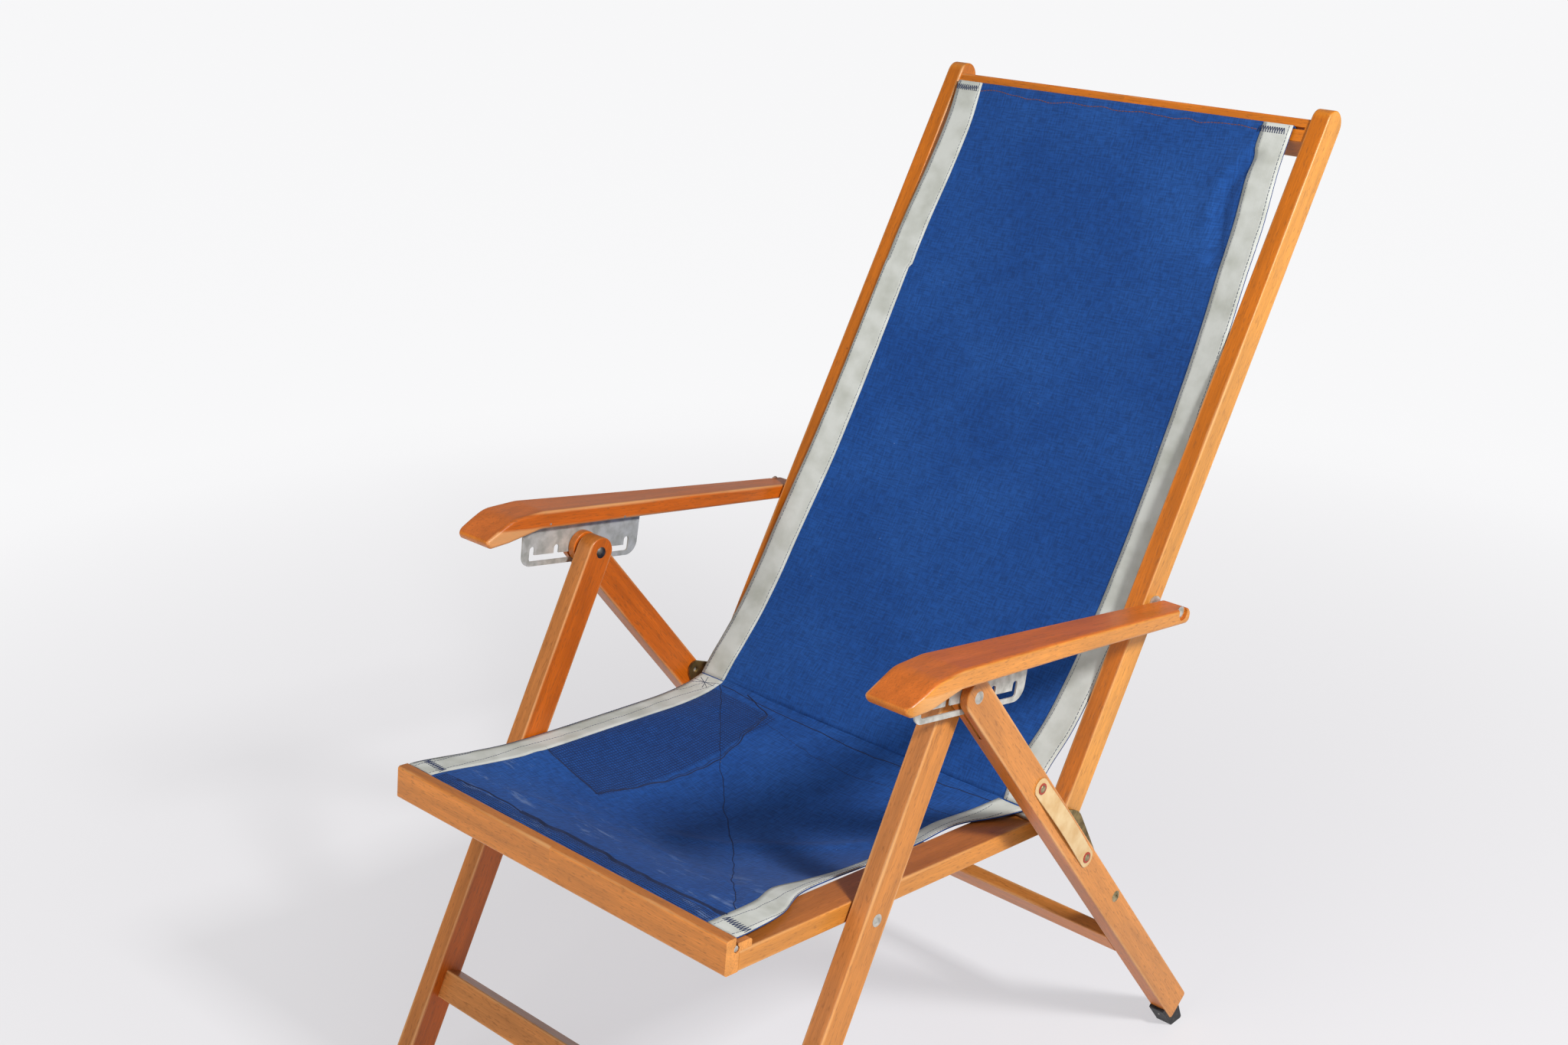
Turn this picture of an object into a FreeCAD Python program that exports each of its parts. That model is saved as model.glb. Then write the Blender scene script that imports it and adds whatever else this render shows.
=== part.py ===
import FreeCAD, Part
import math
import os

# Steamer deck chair: two pairs of crossed legs hinged at their tops, a seat frame slung between
# them, a back hinged to the seat frame, and arms that hook over the top pivots.
# Millimetres. The side view is Y (towards the back) and Z (up), and the sitter's left is +X.
# Places are first worked out from the top pivot, and the finished chair is set on its own floor.

# Wood sections, width across the side view and thickness across the chair
front_leg_width = 34.0
front_leg_thick = 22.0
rear_leg_width = 35.6
rear_leg_thick = 21.0
upright_width = 31.2
upright_thick = 21.0
upright_length = 825.0
edge_round = 1.6
foot_corner_round = 4.0

# Slopes of the members as the chair stands, measured from level towards the back
front_leg_slope = -119.63
rear_leg_slope = -53.30
seat_slope = -6.75
upright_slope = 57.55
arm_slope = 10.4
notch_slope = 11.3

# Pivot places along their members
front_leg_to_seat_pivot = 229.5
seat_pivot_to_back_hinge = 306.5
rear_leg_to_link_bolt = 420.0
link_bolt_offset = 8.6
upright_to_arm_bolt = 259.6
arm_bolt_offset = 4.0

# Layers across the chair, from the rails outwards
rail_outer_x = 237.5
rail_washer_thick = 2.0
upright_washer_thick = 1.0
top_washer_thick = 3.0
arm_gap = 2.4
link_thick = 2.4
link_gap = 0.3

# Seat frame
rail_width = 40.0
rail_below_pivot = 7.0
rail_above_pivot = 13.5
rail_end_round = 9.0
front_rail_reach = 180.0
front_rail_depth = 33.0
front_rail_lip_height = 28.4
front_rail_back_height = 22.0
front_rail_lip_depth = 12.0
front_rail_round = 3.0
corner_lap = 16.0
cross_rod_dia = 8.5
cross_rod_before_hinge = 29.0
cross_rod_inset = 3.0

# Grooves and rods that hold the canvas ends
groove_width = 3.0
keyhole_dia = 7.0
hem_rod_dia = 6.0
keyhole_depth = 9.0

# Cross members between the legs and between the uprights
front_stretcher_from_top = 485.5
front_stretcher_height = 30.8
front_stretcher_thick = 22.0
rear_stretcher_from_top = 488.0
rear_stretcher_height = 35.5
rear_stretcher_thick = 14.3
top_rail_below_end = 17.2
top_rail_height = 34.5
top_rail_underside_rise = 8.0
top_rail_depth = 28.0
top_rail_back_inset = 0.6
top_lip_height = 10.0
tenon_length = 14.0
tenon_shoulder = 4.0

# Pivots, bolts and rivets
pin_dia = 6.5
hinge_pin_dia = 8.0
bolt_dia = 6.0
running_gap = 0.05
head_dia = 13.0
head_height = 2.0
head_gap = 0.1
nut_dia = 14.0
nut_height = 5.0
washer_dia = 24.0
small_washer_dia = 18.0
slot_width = 1.6
slot_depth = 0.9

# Hinge links and their locking
link_head_radius = 27.0
link_end_radius = 13.0
link_nose_radius = 11.0
lock_pin_from_top = 262.6
lock_pin_offset = 7.7
lock_pin_dia = 7.0
lock_strip_start = 164.6
lock_strip_length = 167.0
lock_strip_width = 20.0
lock_strip_thick = 1.6
lock_strip_offset = 3.2
lock_strip_bow = 2.2
strip_screw_inset = 11.2
ring_dia = 12.0
ring_hole_dia = 4.2
ring_thick = 0.8
strip_screw_head_dia = 8.0
strip_screw_head_height = 1.6
strip_screw_dia = 3.6
strip_screw_length = 14.0

# Arms and notch plates
arm_rear_width = 33.6
arm_front_width = 54.8
arm_rear_reach = 17.0
arm_front_reach = 478.0
arm_tip_length = 78.0
arm_flare_start = 180.0
arm_flare_share = 0.42
arm_full_width_before_tip = 28.0
arm_nose_length = 6.0
arm_nose_draw = 3.0
arm_nose_corner = 12.0
arm_nose_bend = 12.0
arm_flare_bend = 120.0
arm_waist_bend = 600.0
arm_thick_rear = 17.0
arm_thick_front = 19.4
arm_under = 13.0
arm_tip_drop = 26.0
arm_tip_under_start = 33.0
arm_tip_bevel = 8.0
arm_tip_bevel_rise = 4.0
arm_tip_brow = 38.0
arm_crown = 1.5
arm_under_rise = 1.0
arm_rear_round = 7.6
arm_under_bend = 30.0
arm_tip_under_bend = 20.0
arm_tip_low_round = 5.0
arm_tip_high_round = 4.0
arm_brow_bend = 40.0
arm_crown_bend = 60.0
arm_edge_round = 3.5
arm_recess_depth = 3.0
arm_recess_dia = 16.0
plate_thick = 1.8
plate_front = 86.0
plate_rear = 87.0
plate_bar_height = 5.4
plate_band_height = 7.0
plate_band_below_pin = 6.0
plate_embed = 36.0
plate_front_corner = 12.0
plate_rear_corner = 16.0
plate_front_lean = 3.0
notch_corner_gap = 0.1
notch_count = 5
notch_pitch = 35.0
notch_width = 7.2
notch_top_gap = 0.45
plate_nail_dia = 2.4
plate_nail_length = 26.0
plate_nail_spots = (-58.0, 52.0)
plate_nail_height = 31.5
kerf_width = 3.5
kerf_front_depth = 54.0
kerf_rear_depth = 100.0

# Floor glides on the inner lower corners of the legs
floor_below_top_pivot = 570.0
foot_clearance = 10.3
glide_side_inset = 1.0
glide_lip_round = 1.5
glide_foot_round = 2.0
glide_lap = 24.0
glide_thick = 4.0
glide_foot = 22.0
glide_end_cover = 20.0
glide_pin_dia = 2.6
glide_pin_length = 16.0

# Canvas and edge tapes
canvas_thick = 1.2
tape_thick = 0.9
tape_width = 36.0
tape_gap = 0.05
canvas_lift = 0.3
upright_lift = 0.6
crease_along = 10.0
crease_before = 37.0
canvas_meets_back = 110.0
seat_canvas_left = 236.0
seat_canvas_right = 231.0

# The slack seat, where it hangs: distance from its nearer end, then heights above the rail tops of
# the left border, the middle, the fold beside the right border and the right edge, then how far
# that fold and that edge lie inside the right rail's inner face
seat_front_stations = (
    (60.0, 3.5, -10.0, 1.5, 4.5, 13.0, -22.0),
    (105.0, 1.2, -27.0, -7.0, 1.6, 32.0, -2.0),
    (150.0, 0.6, -38.0, -14.0, 0.5, 34.0, 1.5),
    (215.0, 0.6, -46.0, -22.0, -4.0, 36.0, 5.0),
)
seat_rear_stations = (
    (134.5, 0.6, -42.0, -22.0, -4.0, 36.0, 5.0),
    (74.5, 1.5, -25.0, -12.0, 1.0, 34.0, 2.0),
    (29.5, 4.5, -7.0, -1.0, 4.5, 16.0, -18.0),
)
seat_end_dip = 0.2
seat_rod_clearance = 2.0
border_inside_rail = 1.0

# Half widths of the back canvas, at distances from the back hinge and down from its top edge
back_right_from_hinge = ((0.0, 235.0), (130.0, 237.5), (560.0, 237.5))
back_right_from_top = ((130.0, 233.0), (47.0, 225.0), (0.0, 223.0))
back_left_from_hinge = ((0.0, 243.0), (96.0, 246.0), (250.0, 240.0), (335.0, 231.0), (600.0, 233.0))
back_left_from_top = ((90.0, 228.0), (20.0, 231.0), (0.0, 233.0))


class Lie:
    """A line in the side view: places are given along it and across it."""

    def __init__(self, origin, degrees, side=1):
        self.origin = origin
        self.along = (math.cos(math.radians(degrees)), math.sin(math.radians(degrees)))
        self.across = (-side * self.along[1], side * self.along[0])

    def at(self, along, across):
        y = self.origin[0] + along * self.along[0] + across * self.across[0]
        z = self.origin[1] + along * self.along[1] + across * self.across[1]
        return (y, z)

    def vector(self, along, across, x=0.0):
        y, z = self.at(along, across)
        return FreeCAD.Vector(x, y, z)

    def foot_reach(self, width):
        """Length of a leg from the top pivot, so that its low corner clears the floor."""
        corner_drop = width / 2 * abs(self.across[1])
        return (floor_below_top_pivot - foot_clearance - corner_drop) / -self.along[1]


def rounded_wire(corners, radii):
    """Closed wire through corners in one plane, with each corner rounded by an arc."""
    arcs = {}
    ends = []
    count = len(corners)
    for index, here in enumerate(corners):
        if radii[index] <= 0:
            ends.append((here, here))
            continue
        to_before = (corners[index - 1] - here).normalize()
        to_after = (corners[(index + 1) % count] - here).normalize()
        half = to_before.getAngle(to_after) / 2
        cut = radii[index] / math.tan(half)
        centre = here + (to_before + to_after).normalize() * (radii[index] / math.sin(half))
        start = here + to_before * cut
        end = here + to_after * cut
        middle = centre + (here - centre).normalize() * radii[index]
        arcs[index] = Part.Arc(start, middle, end).toShape()
        ends.append((start, end))
    path = []
    for index in range(count):
        if index in arcs:
            path.append(arcs[index])
        start = ends[index][1]
        end = ends[(index + 1) % count][0]
        if (end - start).Length > 1e-6:
            path.append(Part.LineSegment(start, end).toShape())
    return Part.Wire(path)


def outline(points, x):
    """Closed wire at one X through (y, z, corner radius) points."""
    return rounded_wire([FreeCAD.Vector(x, y, z) for y, z, _ in points], [radius for _, _, radius in points])


def slab(points, x_from, x_to):
    """Board with a side-view outline between two layers."""
    face = Part.Face(outline(points, x_from))
    return face.extrude(FreeCAD.Vector(x_to - x_from, 0, 0))


def softened(solid, radius):
    """The board with its long edges eased, as sanding leaves them."""
    edges = [edge for edge in solid.Edges if edge.BoundBox.XLength < 1e-6]
    return solid.makeFillet(radius, edges)


def rod(place, radius, x_from, x_to):
    """Round bar across the chair."""
    start = FreeCAD.Vector(x_from, place[0], place[1])
    return Part.makeCylinder(radius, x_to - x_from, start, FreeCAD.Vector(1, 0, 0))


def ring(place, outer_dia, inner_dia, x_from, x_to):
    """Washer across the chair."""
    return rod(place, outer_dia / 2, x_from, x_to).cut(rod(place, inner_dia / 2, x_from - 1, x_to + 1))


def dome(place, diameter, height, x_face, outward):
    """Low domed head whose flat side lies on a face across the chair."""
    radius = (diameter * diameter / 4 + height * height) / (2 * height)
    centre = FreeCAD.Vector(x_face + outward * (height - radius), place[0], place[1])
    ball = Part.makeSphere(radius, centre)
    low = min(x_face, x_face + outward * height)
    keep = rod(place, diameter / 2, low, low + height)
    return ball.common(keep)


def mirrored(shape):
    return shape.mirror(FreeCAD.Vector(0, 0, 0), FreeCAD.Vector(1, 0, 0))


def bar(lie, along, across, x_range, radii=(0, 0, 0, 0)):
    """Rectangular section in a line's own directions, run across the chair."""
    corners = ((along[0], across[0]), (along[1], across[0]), (along[1], across[1]), (along[0], across[1]))
    points = [lie.at(a, c) + (r,) for (a, c), r in zip(corners, radii)]
    return slab(points, x_range[0], x_range[1])


def ribbon(lie, path, thick, x_from, x_to, lift=0.0):
    """Thin sheet that lies a lift above a side-view path, thickened to the left of the path."""
    places = [FreeCAD.Vector(0, *lie.at(a, c)) for a, c in path]
    under = []
    over = []
    for index, place in enumerate(places):
        ahead = places[min(index + 1, len(places) - 1)] - place
        behind = place - places[max(index - 1, 0)]
        if ahead.Length < 1e-9:
            ahead = behind
        if behind.Length < 1e-9:
            behind = ahead
        ahead = ahead.normalize()
        behind = behind.normalize()
        normal_a = FreeCAD.Vector(0, -ahead.z, ahead.y)
        normal_b = FreeCAD.Vector(0, -behind.z, behind.y)
        both = (normal_a + normal_b) * (1 / (1 + normal_a.dot(normal_b)))
        under.append(place + both * lift)
        over.append(place + both * (lift + thick))
    points = [(p.y, p.z, 0) for p in under] + [(p.y, p.z, 0) for p in reversed(over)]
    return slab(points, x_from, x_to)


def strip_outline(lie, edge_a, edge_b, reach):
    """Prism through a sheet whose two side edges are lists of (along, x)."""
    corners = [lie.vector(a, -reach, x) for a, x in edge_a]
    corners += [lie.vector(a, -reach, x) for a, x in reversed(edge_b)]
    face = Part.Face(Part.makePolygon(corners + corners[:1]))
    through = lie.vector(0, reach) - lie.vector(0, -reach)
    return face.extrude(through)


def pair(solid):
    """The same piece on both sides of the chair, as one group."""
    return [solid, mirrored(solid)]


# Main lines and pivots in the side view
top_pivot = (0.0, 0.0)
front_line = Lie(top_pivot, front_leg_slope)
rear_line = Lie(top_pivot, rear_leg_slope)
front_leg_length = front_line.foot_reach(front_leg_width)
rear_leg_length = rear_line.foot_reach(rear_leg_width)
seat_pivot = front_line.at(front_leg_to_seat_pivot, 0)
seat_line = Lie(seat_pivot, seat_slope)
back_hinge = seat_line.at(seat_pivot_to_back_hinge, 0)
back_line = Lie(back_hinge, upright_slope, side=-1)
link_bolt = rear_line.at(rear_leg_to_link_bolt, link_bolt_offset)
arm_bolt = back_line.at(upright_to_arm_bolt, arm_bolt_offset)
arm_line = Lie(arm_bolt, 180 - arm_slope, side=-1)
plate_line = Lie(top_pivot, -notch_slope)
lock_spot = rear_line.at(lock_pin_from_top, lock_pin_offset)

# Layers across the chair
rail_inner_x = rail_outer_x - rail_width
front_leg_x = rail_outer_x + rail_washer_thick
front_leg_outer_x = front_leg_x + front_leg_thick
rear_leg_x = front_leg_outer_x + top_washer_thick
rear_leg_outer_x = rear_leg_x + rear_leg_thick
upright_x = rail_outer_x + upright_washer_thick
upright_outer_x = upright_x + upright_thick
link_x = rear_leg_x - link_gap - link_thick
arm_x = upright_outer_x + arm_gap
plate_x = rear_leg_x + rear_leg_thick / 2
pieces = {}


def hole(place, diameter, x_from, x_to):
    return rod(place, diameter / 2 + running_gap, x_from, x_to)


def add_pair(name, solid):
    """One node for each side of the chair."""
    pieces[name + "_left"] = [solid]
    pieces[name + "_right"] = [mirrored(solid)]


# Cross members, with a tenon at each end
def cross_member(lie, along, across, half_length):
    body = bar(lie, along, across, (-half_length, half_length))
    tongue_along = (along[0] + tenon_shoulder, along[1] - tenon_shoulder)
    tongue_across = (across[0] + tenon_shoulder, across[1] - tenon_shoulder)
    tongue = bar(lie, tongue_along, tongue_across, (-half_length - tenon_length, half_length + tenon_length))
    return softened_ends(body).fuse(tongue), tongue


def softened_ends(solid):
    """The beam with its long edges eased and its end cuts left sharp."""
    edges = [edge for edge in solid.Edges if edge.BoundBox.XLength > edge.Length - 1e-6]
    return solid.makeFillet(edge_round, edges)


front_stretcher, front_tongue = cross_member(
    front_line,
    (front_stretcher_from_top, front_stretcher_from_top + front_stretcher_height),
    (front_leg_width / 2 - front_stretcher_thick, front_leg_width / 2),
    front_leg_x,
)
rear_stretcher, rear_tongue = cross_member(
    rear_line,
    (rear_stretcher_from_top, rear_stretcher_from_top + rear_stretcher_height),
    (-rear_leg_width / 2, -rear_leg_width / 2 + rear_stretcher_thick),
    rear_leg_x,
)
pieces["front_stretcher"] = [front_stretcher]
pieces["rear_stretcher"] = [rear_stretcher]

# Front legs: rounded about the top pivot, square at the foot
front_leg = softened(
    bar(
        front_line,
        (-front_leg_width / 2, front_leg_length),
        (-front_leg_width / 2, front_leg_width / 2),
        (front_leg_x, front_leg_outer_x),
        (front_leg_width / 2, foot_corner_round, foot_corner_round, front_leg_width / 2),
    ),
    edge_round,
)
front_leg = front_leg.cut(hole(top_pivot, pin_dia, front_leg_x - 1, front_leg_outer_x + 1))
front_leg = front_leg.cut(hole(seat_pivot, bolt_dia, front_leg_x - 1, front_leg_outer_x + 1))
add_pair("front_leg", front_leg.cut(front_tongue))

# Rear legs: sawn down the middle from the top, so that the notch plate runs in the cut
rear_leg = softened(
    bar(
        rear_line,
        (-rear_leg_width / 2, rear_leg_length),
        (-rear_leg_width / 2, rear_leg_width / 2),
        (rear_leg_x, rear_leg_outer_x),
        (rear_leg_width / 2, foot_corner_round, foot_corner_round, rear_leg_width / 2),
    ),
    edge_round,
)
kerf_reach = rear_leg_width
kerf_points = [
    rear_line.at(-kerf_reach, -kerf_reach) + (0,),
    rear_line.at(kerf_front_depth, -kerf_reach) + (0,),
    rear_line.at(kerf_front_depth, -rear_leg_width / 2) + (0,),
    rear_line.at(kerf_rear_depth, rear_leg_width / 2) + (0,),
    rear_line.at(kerf_rear_depth, kerf_reach) + (0,),
    rear_line.at(-kerf_reach, kerf_reach) + (0,),
]
rear_leg = rear_leg.cut(slab(kerf_points, plate_x - kerf_width / 2, plate_x + kerf_width / 2))
for place, diameter in ((top_pivot, pin_dia), (link_bolt, bolt_dia), (lock_spot, lock_pin_dia)):
    rear_leg = rear_leg.cut(hole(place, diameter, rear_leg_x - 1, rear_leg_outer_x + 1))
rear_leg = rear_leg.cut(rear_tongue)

# Locking strips: a bowed plastic spring over the pin that locks each hinge link
strip_end = lock_strip_start + lock_strip_length
strip_face_x = rear_leg_outer_x
bow_mid = (lock_strip_start + strip_end) / 2
strip_flat = 2 * strip_screw_inset


def strip_profile(x_shift):
    """Edge of the bowed strip in a plan along the leg, as points and one arc."""
    low = lock_strip_start
    flat_low = low + strip_flat
    flat_high = strip_end - strip_flat
    corner = [rear_line.vector(a, 0, strip_face_x + x_shift) for a in (low, flat_low, flat_high, strip_end)]
    crown = rear_line.vector(bow_mid, 0, strip_face_x + x_shift + lock_strip_bow)
    return corner, crown


def make_strip():
    inner, inner_crown = strip_profile(0)
    outer, outer_crown = strip_profile(lock_strip_thick)
    edges = [
        Part.LineSegment(inner[0], inner[1]).toShape(),
        Part.Arc(inner[1], inner_crown, inner[2]).toShape(),
        Part.LineSegment(inner[2], inner[3]).toShape(),
        Part.LineSegment(inner[3], outer[3]).toShape(),
        Part.LineSegment(outer[3], outer[2]).toShape(),
        Part.Arc(outer[2], outer_crown, outer[1]).toShape(),
        Part.LineSegment(outer[1], outer[0]).toShape(),
        Part.LineSegment(outer[0], inner[0]).toShape(),
    ]
    face = Part.Face(Part.Wire(edges))
    low = lock_strip_offset - lock_strip_width / 2
    face.translate(rear_line.vector(0, low) - rear_line.vector(0, 0))
    return face.extrude(rear_line.vector(0, lock_strip_width) - rear_line.vector(0, 0))


strip = make_strip()
strip_screw_spots = [
    rear_line.at(lock_strip_start + strip_screw_inset, lock_strip_offset),
    rear_line.at(strip_end - strip_screw_inset, lock_strip_offset),
]
strip_screws = []
strip_rings = []
ring_x = strip_face_x + lock_strip_thick
screw_x = ring_x + ring_thick
for spot in strip_screw_spots:
    shank_end = screw_x - strip_screw_length
    strip = strip.cut(hole(spot, strip_screw_dia, rear_leg_x, screw_x))
    rear_leg = rear_leg.cut(hole(spot, strip_screw_dia, shank_end, screw_x))
    head = dome(spot, strip_screw_head_dia, strip_screw_head_height, screw_x, 1)
    strip_screws += pair(head.fuse(rod(spot, strip_screw_dia / 2, shank_end, screw_x)))
    strip_rings += pair(ring(spot, ring_dia, ring_hole_dia, ring_x, screw_x))
add_pair("rear_leg", rear_leg)
add_pair("lock_strip", strip)
pieces["lock_strip_screws"] = strip_screws
pieces["lock_strip_rings"] = strip_rings
pieces["lock_pins"] = pair(rod(lock_spot, lock_pin_dia / 2, rear_leg_x, strip_face_x))

# Seat frame: flat side boards, lapped into the back of a grooved front rail
front_rail_back = -front_rail_reach + front_rail_depth
lap_from = front_rail_back - corner_lap
side_rail = softened(
    bar(
        seat_line,
        (lap_from, seat_pivot_to_back_hinge + rail_above_pivot),
        (-rail_below_pivot, rail_above_pivot),
        (rail_inner_x, rail_outer_x),
        (0, rail_end_round, rail_end_round, 0),
    ),
    edge_round,
)
side_rail_block = bar(
    seat_line,
    (lap_from, front_rail_back + 1),
    (-rail_below_pivot, rail_above_pivot),
    (rail_inner_x, rail_outer_x + 1),
)
side_rail = side_rail.cut(hole(seat_pivot, bolt_dia, rail_inner_x - 1, rail_outer_x + 1))
side_rail = side_rail.cut(hole(back_hinge, hinge_pin_dia, rail_inner_x - 1, rail_outer_x + 1))
add_pair("seat_side_rail", side_rail)

groove_along = -front_rail_reach + front_rail_lip_depth + groove_width / 2
keyhole_height = front_rail_back_height - keyhole_depth + keyhole_dia / 2
front_rail_points = [
    seat_line.at(-front_rail_reach, -rail_below_pivot) + (front_rail_round,),
    seat_line.at(front_rail_back, -rail_below_pivot) + (front_rail_round,),
    seat_line.at(front_rail_back, front_rail_back_height) + (front_rail_round,),
    seat_line.at(groove_along, front_rail_back_height) + (0,),
    seat_line.at(groove_along, front_rail_lip_height) + (0,),
    seat_line.at(-front_rail_reach, front_rail_lip_height) + (front_rail_round,),
]
front_rail = slab(front_rail_points, -rail_outer_x, rail_outer_x)
seat_groove = bar(
    seat_line,
    (groove_along - groove_width / 2, groove_along + groove_width / 2),
    (keyhole_height, front_rail_lip_height + 1),
    (-rail_outer_x - 1, rail_outer_x + 1),
)
seat_keyhole = seat_line.at(groove_along, keyhole_height)
front_rail = front_rail.cut(seat_groove)
front_rail = front_rail.cut(rod(seat_keyhole, keyhole_dia / 2, -rail_outer_x - 1, rail_outer_x + 1))
front_rail = front_rail.cut(side_rail_block).cut(mirrored(side_rail_block))
pieces["seat_front_rail"] = [front_rail]
hem_rod_half = rail_outer_x - 1
pieces["seat_hem_rod"] = [rod(seat_keyhole, hem_rod_dia / 2, -hem_rod_half, hem_rod_half)]

cross_rod_spot = seat_line.at(
    seat_pivot_to_back_hinge - cross_rod_before_hinge,
    rail_above_pivot + cross_rod_dia / 2,
)
cross_rod_half = rail_outer_x - cross_rod_inset
pieces["seat_cross_rod"] = [rod(cross_rod_spot, cross_rod_dia / 2, -cross_rod_half, cross_rod_half)]

# Back frame: two uprights and a grooved top rail
top_rail_high = upright_length - top_rail_below_end
top_rail_low = top_rail_high - top_rail_height
top_rail_back = upright_width / 2 - top_rail_back_inset
top_rail_front = top_rail_back - top_rail_depth
top_rail_front_low = top_rail_low + top_rail_underside_rise
top_rail_corners = [
    (top_rail_low, top_rail_back),
    (top_rail_high, top_rail_back),
    (top_rail_high, top_rail_front),
    (top_rail_front_low, top_rail_front),
]
top_rail = slab([back_line.at(a, c) + (edge_round,) for a, c in top_rail_corners], -upright_x, upright_x)
top_tongue = bar(
    back_line,
    (top_rail_front_low + tenon_shoulder, top_rail_high - tenon_shoulder),
    (top_rail_front + tenon_shoulder, top_rail_back - tenon_shoulder),
    (-upright_x - tenon_length, upright_x + tenon_length),
)
top_rail = top_rail.fuse(top_tongue)
groove_high = top_rail_high - top_lip_height
top_groove = bar(
    back_line,
    (groove_high - groove_width, groove_high),
    (top_rail_front - 1, top_rail_front + keyhole_depth),
    (-upright_x + tenon_shoulder, upright_x - tenon_shoulder),
)
top_keyhole = back_line.at(groove_high - groove_width / 2, top_rail_front + keyhole_depth)
keyhole_half = upright_x - tenon_shoulder
top_rail = top_rail.cut(top_groove)
top_rail = top_rail.cut(rod(top_keyhole, keyhole_dia / 2, -keyhole_half, keyhole_half))
pieces["top_rail"] = [top_rail]
pieces["top_hem_rod"] = [rod(top_keyhole, hem_rod_dia / 2, -keyhole_half + 1, keyhole_half - 1)]

upright = softened(
    bar(
        back_line,
        (-upright_width / 2, upright_length),
        (-upright_width / 2, upright_width / 2),
        (upright_x, upright_outer_x),
        (upright_width / 2, upright_width / 2, upright_width / 2, upright_width / 2),
    ),
    edge_round,
)
upright = upright.cut(hole(back_hinge, hinge_pin_dia, upright_x - 1, upright_outer_x + 1))
upright = upright.cut(hole(arm_bolt, bolt_dia, upright_x - 1, upright_outer_x + 1))
add_pair("back_upright", upright.cut(top_tongue))

# Top pivots: a rivet from the inside and a stub from the outside, either side of the saw cut
kerf_low_x = plate_x - kerf_width / 2
kerf_high_x = plate_x + kerf_width / 2
inner_rivet = rod(top_pivot, pin_dia / 2, front_leg_x, kerf_low_x - head_gap)
inner_rivet = inner_rivet.fuse(dome(top_pivot, head_dia, head_height, front_leg_x, -1))
outer_rivet = rod(top_pivot, pin_dia / 2, kerf_high_x + head_gap, rear_leg_outer_x)
outer_rivet = outer_rivet.fuse(dome(top_pivot, head_dia, head_height, rear_leg_outer_x, 1))
pieces["top_pivot_inner_rivets"] = pair(inner_rivet)
pieces["top_pivot_outer_rivets"] = pair(outer_rivet)
pieces["top_pivot_washers"] = pair(
    ring(top_pivot, washer_dia, pin_dia + 2 * running_gap, front_leg_outer_x + head_gap, rear_leg_x)
)

# Seat pivots: a bolt through each front leg into the seat rail, with a nut on the inside
seat_bolt = rod(seat_pivot, bolt_dia / 2, rail_inner_x - nut_height, front_leg_outer_x + head_gap)
seat_bolt = seat_bolt.fuse(dome(seat_pivot, head_dia, head_height, front_leg_outer_x + head_gap, 1))
pieces["seat_pivot_bolts"] = pair(seat_bolt)
pieces["seat_pivot_nuts"] = pair(
    ring(seat_pivot, nut_dia, bolt_dia, rail_inner_x - nut_height, rail_inner_x)
)
pieces["seat_pivot_washers"] = pair(
    ring(seat_pivot, washer_dia, bolt_dia + 2 * running_gap, rail_outer_x, front_leg_x - head_gap)
)

# Back hinges: a pin through rail and upright with a nut on the inside, and its riveted end in the link
link_outer_x = link_x + link_thick
hinge_pin_end_x = link_x - head_gap
hinge_pin = rod(back_hinge, hinge_pin_dia / 2, rail_inner_x - nut_height - head_gap, hinge_pin_end_x)
pieces["hinge_pins"] = pair(hinge_pin)
pieces["hinge_pin_rivets"] = pair(rod(back_hinge, hinge_pin_dia / 2, link_x, link_outer_x))
pieces["hinge_nuts"] = pair(
    ring(back_hinge, nut_dia, hinge_pin_dia, rail_inner_x - nut_height - head_gap, rail_inner_x - head_gap)
)
pieces["hinge_washers"] = pair(
    ring(
        back_hinge,
        small_washer_dia,
        hinge_pin_dia + 2 * running_gap,
        rail_outer_x + head_gap,
        upright_x - head_gap,
    )
)


# Hinge links: a steel plate from the rear leg's bolt over the back hinge to the locking pin
def tapered_plate(place_a, radius_a, place_b, radius_b):
    """Plate outline round two discs with straight tangent sides."""
    run_y = place_b[0] - place_a[0]
    run_z = place_b[1] - place_a[1]
    distance = math.hypot(run_y, run_z)
    heading = math.atan2(run_z, run_y)
    lean = math.acos((radius_a - radius_b) / distance)
    points = []
    for place, radius, turn in (
        (place_a, radius_a, lean),
        (place_b, radius_b, lean),
        (place_b, radius_b, -lean),
        (place_a, radius_a, -lean),
    ):
        y = place[0] + radius * math.cos(heading + turn)
        z = place[1] + radius * math.sin(heading + turn)
        points.append((y, z, 0))
    web = slab(points, link_x, link_outer_x)
    discs = rod(place_a, radius_a, link_x, link_outer_x).fuse(rod(place_b, radius_b, link_x, link_outer_x))
    return web.fuse(discs)


link = tapered_plate(link_bolt, link_end_radius, back_hinge, link_head_radius)
link = link.fuse(tapered_plate(back_hinge, link_head_radius, lock_spot, link_nose_radius)).removeSplitter()
for place, diameter in ((link_bolt, bolt_dia), (back_hinge, hinge_pin_dia), (lock_spot, lock_pin_dia)):
    link = link.cut(hole(place, diameter, link_x - 1, link_outer_x + 1))
add_pair("hinge_link", link)

link_bolt_piece = rod(link_bolt, bolt_dia / 2, link_x, rear_leg_outer_x)
link_bolt_piece = link_bolt_piece.fuse(dome(link_bolt, head_dia, head_height, rear_leg_outer_x, 1))
head_top_x = rear_leg_outer_x + head_height
driver_slot = bar(
    Lie(link_bolt, rear_leg_slope),
    (-head_dia, head_dia),
    (-slot_width / 2, slot_width / 2),
    (head_top_x - slot_depth, head_top_x + 1),
)
pieces["link_bolts"] = pair(link_bolt_piece.cut(driver_slot))

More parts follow.
